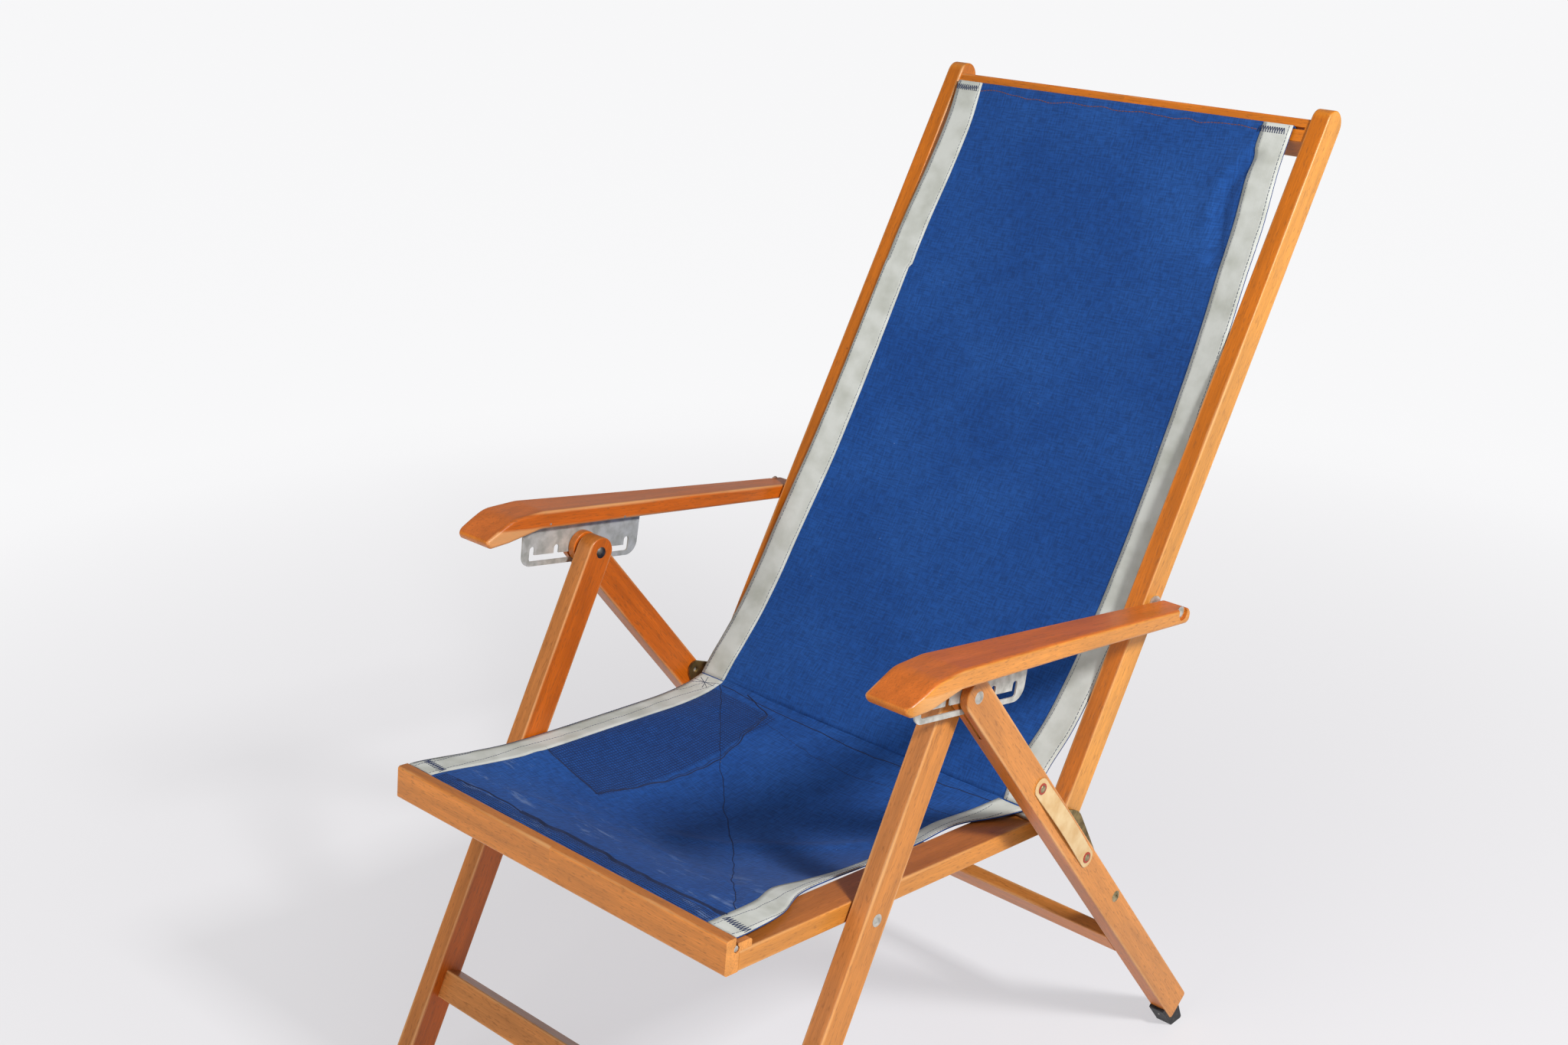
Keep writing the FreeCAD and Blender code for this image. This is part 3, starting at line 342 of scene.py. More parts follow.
# Hinge links and their locks
# Pressed steel links with a dull brassed finish swing on the rear legs' bolts. A yellowed plastic
# spring strip, screwed over red fibre washers, presses the pin that locks each link.
brassed_steel = dull_metal("brassed_steel", "#A08A5A", "#6E5F42", 0.38, 9)
finished(brassed_steel, "hinge_link_left", "hinge_link_right")
brassed_bolt = dull_metal("brassed_bolt_steel", "#B9AC8A", "#857752", 0.32, 5)
finished(brassed_bolt, "link_bolts", "lock_strip_screws")

# Moulded plastic, glossy once, yellowed in patches about 17 mm across
strip_plastic = two_toned("moulded_cream_plastic", "#DCC090", "#CBA46C", 60, 4, 0.35, 0.7, 0.42)

# Sizes in mm: start along the leg from the top pivot, place across its middle line, length, half
# width and thickness, flat ends under the screws, bow between them and half width of the tips.
# Then the numbers of faces along it and across half of it, and the leg's outer face from the
# chair's middle
strip_start = 164.6
strip_offset = 3.2
strip_length = 167
strip_half_width = 10
strip_thick = 1.6
strip_flat = 22.4
strip_bow = 2.2
strip_tip = 0.4
strip_lengths = 60
strip_widths = 6
rear_leg_face = 285.5


def in_frame(origin, slope, turned, along, across, x):
    """A place along and across a line of the side view, in metres in the chair's frame. Across
    counts upwards where turned is 1, and downwards where it is -1."""
    rise = math.radians(slope)
    y = origin[0] + along * math.cos(rise) - turned * across * math.sin(rise)
    z = origin[1] + along * math.sin(rise) + turned * across * math.cos(rise)
    return Vector((x, y, z)) / 1000


def thin_mesh(name, rows, thick):
    """A closed skin round rows of (place, place on the flat) points, thick mm through."""
    count = len(rows)
    width = len(rows[0])
    places = []
    for i in range(count):
        for j in range(width):
            down = rows[min(i + 1, count - 1)][j][0] - rows[max(i - 1, 0)][j][0]
            right = rows[i][min(j + 1, width - 1)][0] - rows[i][max(j - 1, 0)][0]
            up = right.cross(down).normalized() * (thick / 2000)
            places.append((rows[i][j][0] + up, rows[i][j][0] - up))
    verts = [p[0] for p in places] + [p[1] for p in places]
    cuts = [point[1] for row in rows for point in row] * 2
    under = count * width
    faces = []
    for i in range(count - 1):
        for j in range(width - 1):
            a = i * width + j
            faces.append((a, a + 1, a + width + 1, a + width))
            faces.append((under + a, under + a + width, under + a + width + 1, under + a + 1))
    rim = list(range(width)) + [i * width + width - 1 for i in range(1, count)]
    rim += [(count - 1) * width + j for j in range(width - 2, -1, -1)]
    rim += [i * width for i in range(count - 2, 0, -1)]
    for a, b in zip(rim, rim[1:] + rim[:1]):
        faces.append((b, a, under + a, under + b))
    mesh = bpy.data.meshes.new(name)
    mesh.from_pydata(verts, [], faces)
    layer = mesh.uv_layers.new(name="cut")
    for loop in mesh.loops:
        layer.data[loop.index].uv = cuts[loop.vertex_index]
    mesh.shade_smooth()
    mesh.validate()
    piece = bpy.data.objects.new(name, mesh)
    bpy.context.collection.objects.link(piece)
    return piece


def spring_strip(name, side):
    """The strip with its round ends, bowed off the leg between the two screws; side is 1 or -1."""
    rows = []
    for index in range(strip_lengths + 1):
        away = strip_length * (0.5 - 0.5 * math.cos(math.pi * index / strip_lengths))
        near = min(away, strip_length - away, strip_half_width)
        half = math.sqrt(strip_half_width ** 2 - (strip_half_width - near) ** 2) + strip_tip
        span = min(max((away - strip_flat) / (strip_length - 2 * strip_flat), 0), 1)
        lift = strip_thick / 2 + strip_bow * (1 - (2 * span - 1) ** 2)
        row = []
        for step in range(2 * strip_widths + 1):
            across = math.sin(math.pi / 2 * (step / strip_widths - 1)) * min(half, strip_half_width)
            spot = in_frame(
                top_pivot, rear_leg_slope, 1, strip_start + away, strip_offset - side * across,
                side * (rear_leg_face + lift),
            )
            row.append((spot, (across / 1000, away / 1000)))
        rows.append(row)
    piece = thin_mesh(name, rows, strip_thick)
    piece.data.materials.append(strip_plastic)
    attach(piece, "rear_legs")
    return piece


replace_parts(spring_strip("spring_strip_left", 1), "lock_strip_left")
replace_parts(spring_strip("spring_strip_right", -1), "lock_strip_right")

# Pressed fibre, matt and faded in blotches of 3 mm
washer_fibre = two_toned("pressed_red_fibre", "#B5402F", "#8E3527", 300, 3, 0, 1, 0.6)
finished(washer_fibre, "lock_strip_rings")

# Seat frame
# Two flat beech boards lapped into the back of a deeper front rail, whose groove holds the hem of
# the canvas. Their top faces are given a darker reddish brown.
seat_pivot = (-270.425, 370.51)
seat_slope = -6.75
# The second tone of each board, for its inner sides, is a painted shade; the others partly carry
# painted light and shade
finished(varnished_beech(
    "varnished_beech_seat_rails", seat_pivot, seat_slope, ((217.5, 20), (3.2, 10.2)), True,
    ("#CC8435", "#D06614", "#D08536", "#A86228"), 5.0,
), "seat_side_rail_left", "seat_side_rail_right")
finished(varnished_beech(
    "varnished_beech_front_rail", seat_pivot, seat_slope, ((-163.5, 16.5), (10.7, 17.7)), False,
    ("#D98F41", "#D06614", "#DC8839", "#B46C30"), 6.0,
), "seat_front_rail")

# Back frame
# Two beech uprights with rounded ends, and a grooved top rail tenoned between them that holds the
# upper hem of the canvas.
back_hinge = (33.95, 334.485)
back_slope = 57.55
# The second tone of each board, for its inner sides, is a painted shade; the others partly carry
# painted light and shade
finished(varnished_beech(
    "varnished_beech_uprights", back_hinge, back_slope, ((249, 10.5), (0, 15.6)), True,
    ("#D9923B", "#C7711A", "#C0650D", "#D07A1A"), 7.0,
), "back_upright_left", "back_upright_right")
finished(varnished_beech(
    "varnished_beech_top_rail", back_hinge, back_slope, ((790.5, 17.2), (1, 14)), False,
    ("#D98F45", "#C0661C", "#CC7111", "#C96D22"), 8.0,
), "top_rail")

# Arms and notch plates
# Beech boards that flare to a turned-down tip, given a deeper red brown on top. Each holds a
# galvanised plate in a slot under it, cut with the notches that hook on the top pivot.
arm_bolt = (176.618, 551.405)
# The second tone of each board, for its inner sides, is a painted shade; the others partly carry
# painted light and shade
finished(varnished_beech(
    "varnished_beech_arms", arm_bolt, -10.4, ((289.5, 27), (-4.5, 9.5)), True,
    ("#D38937", "#D06614", "#D5781C", "#C16421"), 9.0,
), "armrest_left", "armrest_right")

# Hot-dipped zinc gone to pale oxide, so that only half of it still looks like metal
galvanised = dull_metal("galvanised_plate", "#CDCDC7", "#A6A69F", 0.45, 12, 0.45)
finished(galvanised, "notch_plate_left", "notch_plate_right")

# Canvas seat and back
# Blue cotton canvas, woven plain, hung from the front rail's groove over the seat to the top rail.
# The seat has stretched into a hammock, and one of its borders has slipped inside the rail.

# Cotton canvas is matt and uneven: slubs 14 by 1.8 mm both ways, coarser than the real ones so
# that they show, and clouds of fading about 200 mm across
canvas_blue, tree, shader = finish_of("woven_cotton_canvas")
cloth = put(tree, "ShaderNodeUVMap", uv_map="cut")
slub_across = put(tree, "ShaderNodeMapping", {"Vector": cloth.outputs[0], "Scale": (70, 560, 1)})
slub_along = put(tree, "ShaderNodeMapping", {"Vector": cloth.outputs[0], "Scale": (560, 70, 1)})
weft = put(tree, "ShaderNodeTexNoise", {"Vector": slub_across.outputs[0], "Scale": 1, "Detail": 2})
warp = put(tree, "ShaderNodeTexNoise", {"Vector": slub_along.outputs[0], "Scale": 1, "Detail": 2})
threads = put(tree, "ShaderNodeMath", {0: weft.outputs[0], 1: warp.outputs[0]}, operation="ADD")
thread_tone = put(tree, "ShaderNodeMapRange", {
    "Value": threads.outputs[0], "From Min": 0.78, "From Max": 1.22, "To Min": 0.76, "To Max": 1.24,
})
cloud = put(tree, "ShaderNodeTexNoise", {
    "Vector": cloth.outputs[0], "Scale": 5, "Detail": 7, "Roughness": 0.65,
})
fading = put(tree, "ShaderNodeMapRange", {
    "Value": cloud.outputs[0], "From Min": 0.4, "From Max": 0.66,
})
tone = put(tree, "ShaderNodeMix", {
    0: fading.outputs[0], 6: linear("#123F7F"), 7: linear("#1C4A8C"),
}, data_type="RGBA")
woven = put(tree, "ShaderNodeHueSaturation", {
    "Color": tone.outputs[2], "Value": thread_tone.outputs[0],
})
flat = put(tree, "ShaderNodeSeparateXYZ", {0: cloth.outputs[0]})


def within(value, low, high, edge):
    """Full between two values in metres, and nothing an edge's width outside them."""
    rising = put(tree, "ShaderNodeMapRange", {
        "Value": value, "From Min": low - edge, "From Max": low,
    })
    falling = put(tree, "ShaderNodeMapRange", {
        "Value": value, "From Min": high, "From Max": high + edge, "To Min": 1, "To Max": 0,
    })
    return put(tree, "ShaderNodeMath", {
        0: rising.outputs[0], 1: falling.outputs[0],
    }, operation="MULTIPLY").outputs[0]


# Darned patch beside one tape: rows of fine stitches both ways
darn_spacing = 0.0035
darn_shade = 0.75
darn_across = within(flat.outputs[0], -0.2, -0.098, 0.001)
darn_along = within(flat.outputs[1], 0.166, 0.442, 0.001)
darned = put(tree, "ShaderNodeMath", {0: darn_across, 1: darn_along}, operation="MULTIPLY")
uneven = put(tree, "ShaderNodeTexNoise", {"Vector": cloth.outputs[0], "Scale": 60, "Detail": 2})
rows_of_thread = []
for part in flat.outputs[:2]:
    bent = put(tree, "ShaderNodeMath", {
        0: uneven.outputs[0], 1: 0.004, 2: part,
    }, operation="MULTIPLY_ADD")
    beat = put(tree, "ShaderNodeMath", {0: bent.outputs[0], 1: darn_spacing}, operation="MODULO")
    beat = put(tree, "ShaderNodeMath", {0: beat.outputs[0]}, operation="ABSOLUTE")
    line = put(tree, "ShaderNodeMapRange", {
        "Value": beat.outputs[0], "From Min": 0.0008, "From Max": 0.0015, "To Min": 1, "To Max": 0,
    })
    rows_of_thread.append(line.outputs[0])
darning = put(tree, "ShaderNodeMath", {
    0: rows_of_thread[0], 1: rows_of_thread[1],
}, operation="MAXIMUM")
darning = put(tree, "ShaderNodeMath", {
    0: darning.outputs[0], 1: darned.outputs[0],
}, operation="MULTIPLY")
darker = put(tree, "ShaderNodeMath", {0: darning.outputs[0], 1: darn_shade}, operation="MULTIPLY")
mended = put(tree, "ShaderNodeMix", {
    0: darker.outputs[0], 6: woven.outputs[0], 7: linear("#0B1E48"),
}, data_type="RGBA")

# Pale scuffs on the front of the seat, and specks of lint here and there
rub_map = put(tree, "ShaderNodeMapping", {
    "Vector": cloth.outputs[0], "Scale": (14, 45, 1), "Rotation": (0, 0, 0.35),
})
rub = put(tree, "ShaderNodeTexNoise", {
    "Vector": rub_map.outputs[0], "Scale": 1, "Detail": 6, "Roughness": 0.7,
})
rub_line = put(tree, "ShaderNodeMapRange", {
    "Value": rub.outputs[0], "From Min": 0.56, "From Max": 0.66, "To Max": 0.4,
})
front = within(flat.outputs[1], 0.02, 0.11, 0.06)
scuffed = put(tree, "ShaderNodeMath", {0: rub_line.outputs[0], 1: front}, operation="MULTIPLY")
lint = put(tree, "ShaderNodeTexVoronoi", {"Vector": cloth.outputs[0], "Scale": 60})
lint_near = put(tree, "ShaderNodeMapRange", {
    "Value": lint.outputs["Distance"], "From Min": 0.02, "From Max": 0.045,
    "To Min": 0.55, "To Max": 0,
})
lint_pick = put(tree, "ShaderNodeSeparateXYZ", {0: lint.outputs["Color"]})
lint_rare = put(tree, "ShaderNodeMath", {0: lint_pick.outputs[0], 1: 0.9}, operation="GREATER_THAN")
lint_mark = put(tree, "ShaderNodeMath", {
    0: lint_near.outputs[0], 1: lint_rare.outputs[0],
}, operation="MULTIPLY")
pale = put(tree, "ShaderNodeMath", {
    0: scuffed.outputs[0], 1: lint_mark.outputs[0],
}, operation="MAXIMUM")
worn = put(tree, "ShaderNodeMix", {
    0: pale.outputs[0], 6: mended.outputs[2], 7: linear("#8298BC"),
}, data_type="RGBA")
ridges = put(tree, "ShaderNodeMath", {
    0: darning.outputs[0], 1: 0.8, 2: threads.outputs[0],
}, operation="MULTIPLY_ADD")
relief = put(tree, "ShaderNodeBump", {
    "Strength": 0.5, "Distance": 0.0005, "Height": ridges.outputs[0],
})
tree.links.new(worn.outputs[2], shader.inputs["Base Color"])
tree.links.new(relief.outputs[0], shader.inputs["Normal"])
shader.inputs["Roughness"].default_value = 0.92
shader.inputs["Specular IOR Level"].default_value = 0.25
shader.inputs["Sheen Weight"].default_value = 0.04
shader.inputs["Sheen Roughness"].default_value = 0.5

# Sizes in mm: the cloth, the rails that carry it, the seat's reach along them, and the numbers
# of faces that the sheets are divided into
canvas_thick = 1.2
rail_top = 13.5
rail_inner = 197.5
seat_from = -166.5
seat_to = 277.5
seat_lengths = 90
back_lengths = 150
sheet_widths = 96

# Distance along the seat from its pivot; how far the outer border reaches; the heights above the
# rail tops of that border, the middle, the other border's fold and its edge; and how far that
# fold and that edge stand inside their rail
seat_stations = (
    (-166.5, 243, 8.8, 8.6, 8.8, 8.8, 4.5, -33.5),
    (-147, 242, 8.8, 8.4, 8.8, 8.8, 4.5, -33.5),
    (-87, 240, 3.5, -10, 1.5, 4.5, 13, -22),
    (-42, 237, 1.2, -27, -7, 1.6, 32, -2),
    (3, 237, 0.6, -38, -14, 0.5, 34, 1.5),
    (68, 239, 0.6, -46, -22, -4, 36, 5),
    (143, 242, 0.6, -42, -22, -4, 36, 5),
    (203, 244, 1.5, -25, -12, 1, 34, 2),
    (248, 248, 4.5, -7, -1, 4.5, 16, -18),
    (277.5, 251, 10.5, 10, 10.5, 10.5, 4.5, -33.5),
)


def between(table, value):
    """Smooth reading of a table whose rows start with their place."""
    last = len(table) - 1
    index = 0
    while index < last - 1 and value > table[index + 1][0]:
        index += 1
    start, end = table[index], table[index + 1]
    before, after = table[max(index - 1, 0)], table[min(index + 2, last)]
    span = end[0] - start[0]
    share = min(max((value - start[0]) / span, 0), 1)
    found = []
    for column in range(1, len(start)):
        lean_in = (end[column] - before[column]) / (end[0] - before[0]) * span
        lean_out = (after[column] - start[column]) / (after[0] - start[0]) * span
        cubic = 2 * share ** 3 - 3 * share ** 2 + 1
        found.append(
            cubic * start[column] + (share ** 3 - 2 * share ** 2 + share) * lean_in
            + (1 - cubic) * end[column] + (share ** 3 - share ** 2) * lean_out
        )
    return found


def seat_section(along):
    """The seat's cut across at one place: a list of (x, height above the rail tops)."""
    border, border_up, middle_up, fold_up, edge_up, fold_in, edge_in = between(seat_stations, along)
    bend = -(rail_inner - 1)
    fold = rail_inner - fold_in
    edge = rail_inner - edge_in
    points = [(-border, border_up), ((-border + bend) / 2, border_up + 0.2), (bend, border_up)]
    for share in (0.12, 0.3, 0.5, 0.7, 0.88):
        hang = 4 * share * (1 - share)
        level = border_up + (fold_up - border_up) * share
        dip = (border_up + fold_up) / 2 - middle_up
        points.append((bend + (fold - bend) * share, level - dip * hang))
    points += [(fold, fold_up), ((fold + edge) / 2, (fold_up + edge_up) / 2 - 0.3), (edge, edge_up)]
    return points


def smooth_run(points, steps):
    """Even points on a smooth curve through the given ones, and the curve's length."""
    pieces = 12
    dense = []
    last = len(points) - 1
    for index in range(last):
        a, b = points[max(index - 1, 0)], points[index]
        c, d = points[index + 1], points[min(index + 2, last)]
        for step in range(pieces):
            t = step / pieces
            dense.append(tuple(
                0.5 * (2 * b[k] + (c[k] - a[k]) * t
                       + (2 * a[k] - 5 * b[k] + 4 * c[k] - d[k]) * t * t
                       + (3 * b[k] - a[k] - 3 * c[k] + d[k]) * t ** 3)
                for k in range(2)
            ))
    dense.append(points[-1])
    lengths = [0.0]
    for p, q in zip(dense, dense[1:]):
        lengths.append(lengths[-1] + math.hypot(q[0] - p[0], q[1] - p[1]))
    even = []
    index = 0
    for step in range(steps + 1):
        wanted = lengths[-1] * step / steps
        while index < len(lengths) - 2 and lengths[index + 1] < wanted:
            index += 1
        share = (wanted - lengths[index]) / (lengths[index + 1] - lengths[index])
        p, q = dense[index], dense[index + 1]
        even.append((p[0] + (q[0] - p[0]) * share, p[1] + (q[1] - p[1]) * share))
    return even, lengths[-1]


# Distance along the back from its hinge, the half widths to -X and +X, how far those two edges
# lie behind the uprights' front plane, then the hollow that leaning has left between them
back_stations = (
    (10, 251, 236, -22.5, -22.5, 0),
    (35, 252, 231, -17, -17, 1),
    (60, 252, 231, -11, -11, 2),
    (100, 251.5, 235, -3.5, -2, 5),
    (150, 249, 237, -1.2, 5, 9),
    (200, 247.5, 237.5, -1.2, 10, 14),
    (250, 245, 237.5, -1.2, 13, 18),
    (320, 241, 237.5, -1.2, 14, 20),
    (400, 239, 237.5, -1.2, 12, 20),
    (490, 238.5, 237.5, -1.2, 8, 17),
    (560, 238, 237.5, -1.2, 2, 13),
    (620, 236, 235, -1.2, -1.2, 9),
    (680, 232, 232, -1.2, -1.2, 6),
    (745, 230, 225, -1.2, -1.2, 2),
    (796.3, 235, 223, -1.2, -1.2, 0),
)
upright_front = -15.6
upright_inner = 237.5


def back_section(along):
    """The back's cut across at one place: a list of (x, place across the uprights' line)."""
    low_side, high_side, low_lies, high_lies, hollow = between(back_stations, along)
    start = -min(low_side, upright_inner)
    points = []
    if low_side > upright_inner + 0.5:
        level = upright_front + low_lies
        points = [(-low_side, level), ((start - low_side) / 2, level)]
    for share in (0, 0.04, 0.1, 0.2, 0.35, 0.5, 0.65, 0.8, 0.9, 0.96, 1):
        level = low_lies + (high_lies - low_lies) * share ** 3
        dip = hollow * (1 - abs(2 * share - 1) ** 3)
        points.append((start + (high_side - start) * share, upright_front + level + dip))
    return points


def sheet_rows(section, places, origin, slope, turned, base, columns, from_cut):
    """Rows of even points across a sheet with their place on the flat cloth in metres, then the
    length reached on that cloth and each row's width."""
    rows = []
    cut = from_cut
    middle = None
    widths = []
    for along in places:
        even, width = smooth_run(section(along), columns)
        row = [in_frame(origin, slope, turned, along, base + across, x) for x, across in even]
        here = row[columns // 2]
        if middle is not None:
            cut += (here - middle).length
        middle = here
        rows.append([(p, (width / 1000 * (j / columns - 0.5), cut)) for j, p in enumerate(row)])
        widths.append(width / 1000)
    return rows, cut, widths


seat_reach = seat_to - seat_from
seat_places = [seat_from + seat_reach * i / seat_lengths for i in range(seat_lengths + 1)]
seat_rows, seat_cut, seat_widths = sheet_rows(
    seat_section, seat_places, seat_pivot, seat_slope, 1, rail_top + canvas_thick / 2,
    sheet_widths, 0.0,
)


def wrinkled(rows, path, height, spread):
    """Lifts or sinks a sheet beside a path on the flat cloth, height and spread in mm."""
    for i in range(1, len(rows) - 1):
        row = rows[i]
        for j in range(1, len(row) - 1):
            u, v = row[j][1][0] * 1000, row[j][1][1] * 1000
            near = spread * 3
            fade = 0
            for (u0, v0), (u1, v1) in zip(path, path[1:]):
                long = (u1 - u0) ** 2 + (v1 - v0) ** 2
                share = min(max(((u - u0) * (u1 - u0) + (v - v0) * (v1 - v0)) / long, 0), 1)
                apart = math.hypot(u - u0 - share * (u1 - u0), v - v0 - share * (v1 - v0))
                if apart < near:
                    near = apart
                    fade = 1
            if fade:
                down = rows[i + 1][j][0] - rows[i - 1][j][0]
                up = (row[j + 1][0] - row[j - 1][0]).cross(down).normalized()
                lift = up * height / 1000 * math.exp(-(near / spread) ** 2)
                row[j] = (row[j][0] + lift, row[j][1])


# The seat's long ridge from corner to corner and its smaller puckers
wrinkled(seat_rows, ((-150, 405), (-23, 287), (92, 179), (180, 70)), -2.2, 7)
wrinkled(seat_rows, ((-130, 60), (-66, 94), (-1, 63), (40, 40)), 1.4, 7)
wrinkled(seat_rows, ((-20, 120), (60, 135), (150, 110)), 1.6, 9)
wrinkled(seat_rows, ((-1, 186), (70, 262), (150, 320)), 1.8, 9)
wrinkled(seat_rows, ((-190, 150), (-120, 120), (-60, 130)), 1.2, 8)
wrinkled(seat_rows, ((-95, 170), (-85, 290), (-88, 362), (-110, 440)), 0.8, 4)

# The hem goes down into the front rail's groove
hem_depth = 12
hem_rows = []
for step in (3, 2, 1):
    down = in_frame((0, 0), seat_slope, 1, 0, -hem_depth * step / 3, 0)
    used = hem_depth * step / 3000
    hem_rows.append([(p + down, (uv[0], uv[1] - used)) for p, uv in seat_rows[0]])

# The back runs from the crease to the top rail's groove, with puckers at one top corner
back_from = 10
back_to = 796.3
back_reach = back_to - back_from
back_places = [back_from + back_reach * i / back_lengths for i in range(back_lengths + 1)]
back_rows, back_cut, back_widths = sheet_rows(
    back_section, back_places, back_hinge, back_slope, -1, 0, sheet_widths, seat_cut,
)
wrinkled(back_rows, ((192, 1216), (172, 1179), (173, 1153), (186, 1100)), -4.5, 8)
wrinkled(back_rows, ((184, 1222), (160, 1186), (160, 1140)), 2.2, 9)
wrinkled(back_rows, ((-120, 520), (0, 498), (150, 512)), 0.9, 9)
groove_depth = 17
top_rows = []
for step in (1, 2, 3):
    inward = in_frame((0, 0), back_slope, -1, 0, groove_depth * step / 3, 0)
    used = groove_depth * step / 3000
    top_rows.append([(p + inward, (uv[0], uv[1] + used)) for p, uv in back_rows[-1]])

# The seat's end is lapped behind the start of the back, which closes the crease
tuck = in_frame((0, 0), back_slope, -1, 0, canvas_thick + 0.1, 0)
crease_rows = [[(p + tuck, (uv[0], uv[1])) for p, uv in row] for row in back_rows[1:3]]
seat_canvas = thin_mesh("canvas_seat", hem_rows + seat_rows[:-1] + crease_rows, canvas_thick)
seat_canvas.data.materials.append(canvas_blue)
back_canvas = thin_mesh("canvas_back", back_rows + top_rows, canvas_thick)
back_canvas.data.materials.append(canvas_blue)


def on_seat_cloth(piece):
    """Bakes a piece of the seat cloth's place into its mesh."""
    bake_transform(piece)


def on_back_cloth(piece):
    """Bakes a piece of the back cloth's place into its mesh."""
    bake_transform(piece)


on_seat_cloth(seat_canvas)
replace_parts(seat_canvas, "seat_canvas")
on_back_cloth(back_canvas)
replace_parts(back_canvas, "back_canvas")

# Edge tapes
# Woven cotton tape 36 mm wide, sewn flat along each side of the canvas and pale grey with age. Its
# fine ribs run lengthwise and it is quite matt.
tape_cotton, tree, shader = finish_of("woven_cotton_tape")
cloth = put(tree, "ShaderNodeUVMap", uv_map="cut")
rib = put(tree, "ShaderNodeMapping", {"Vector": cloth.outputs[0], "Scale": (700, 90, 1)})
cord_line = put(tree, "ShaderNodeTexNoise", {"Vector": rib.outputs[0], "Scale": 1, "Detail": 2})
grime = put(tree, "ShaderNodeTexNoise", {"Vector": cloth.outputs[0], "Scale": 30, "Detail": 5})
soiled = put(tree, "ShaderNodeMapRange", {
    "Value": grime.outputs[0], "From Min": 0.4, "From Max": 0.75,
})
tone = put(tree, "ShaderNodeMix", {
    0: soiled.outputs[0], 6: linear("#C6C8C2"), 7: linear("#AAACA2"),
}, data_type="RGBA")
relief = put(tree, "ShaderNodeBump", {
    "Strength": 0.4, "Distance": 0.0003, "Height": cord_line.outputs[0],
})
tree.links.new(tone.outputs[2], shader.inputs["Base Color"])
tree.links.new(relief.outputs[0], shader.inputs["Normal"])
shader.inputs["Roughness"].default_value = 0.9
tape_width = 36
tape_thick = 0.9
tape_widths = 6
tape_gap = 0.05


def tape_along(name, rows, side):
    """A strip of tape laid on the border of a sheet, left where its rows start, at -X."""
    laid = []
    for i in range(len(rows)):
        row = rows[i]
        width = (row[-1][1][0] - row[0][1][0]) * 1000
        strip = []
        for step in range(tape_widths + 1):
            place = tape_width * step / tape_widths / width * (len(row) - 1)
            if side == "right":
                place = len(row) - 1 - place
            low = min(int(place), len(row) - 2)
            share = place - low
            spot_a, cut_a = row[low]
            spot_b, cut_b = row[low + 1]
            spot = spot_a.lerp(spot_b, share)
            across = spot_b - spot_a
            other = rows[min(i + 1, len(rows) - 1)][low][0] - rows[max(i - 1, 0)][low][0]
            up = across.cross(other).normalized()
            up = up * ((canvas_thick + tape_thick) / 2 + tape_gap) / 1000
            cut = (cut_a[0] + (cut_b[0] - cut_a[0]) * share, cut_a[1])
            strip.append((spot + up, cut))
        if side == "right":
            strip.reverse()
        laid.append(strip)
    piece = thin_mesh(name, laid, tape_thick)
    piece.data.materials.append(tape_cotton)
    return piece


seat_tapes = [tape_along("seat_tape_" + side, seat_rows[1:], side) for side in ("left", "right")]
back_tapes = [tape_along("back_tape_" + side, back_rows, side) for side in ("left", "right")]
for piece in seat_tapes:
    on_seat_cloth(piece)
    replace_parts(piece, "seat_edge_tapes")
for piece in back_tapes:
    on_back_cloth(piece)
    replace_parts(piece, "back_edge_tapes")

# Seams and mends
# Navy cotton thread, machine sewn in 3 mm stitches, holds the tapes, the crease, the mended patch,
# the long diagonal and the front hem, and bars the tapes' ends. The top hem's is reddish brown.

# Spun cotton, matt, its twist seen as a change of tone every few millimetres
navy_cotton = two_toned("navy_sewing_thread", "#0A1634", "#1B2C55", 400, 3, 0, 1, 0.85)
brown_cotton = two_toned("red_brown_sewing_thread", "#5E3840", "#8E5C52", 400, 3, 0, 1, 0.85)

# How far the stitches lie off the middle of the cloth
on_canvas = canvas_thick / 2
on_tape = canvas_thick / 2 + tape_thick + tape_gap


def cloth_spot(rows, u, v):
    """Where a point of the flat cloth, in mm, lies on a sheet, and the way out of the cloth."""
    index = 0
    while index < len(rows) - 2 and rows[index + 1][0][1][1] * 1000 < v:
        index += 1
    start, end = rows[index][0][1][1] * 1000, rows[index + 1][0][1][1] * 1000
    found = []
    for row in rows[index:index + 2]:
        width = (row[-1][1][0] - row[0][1][0]) * 1000
        place = min(max((u / width + 0.5) * (len(row) - 1), 0), len(row) - 1.001)
        low = int(place)
        found.append(row[low][0].lerp(row[low + 1][0], place - low))
        aside = row[low + 1][0] - row[low][0]
    up = aside.cross(found[1] - found[0]).normalized()
    return found[0].lerp(found[1], (v - start) / (end - start)), up


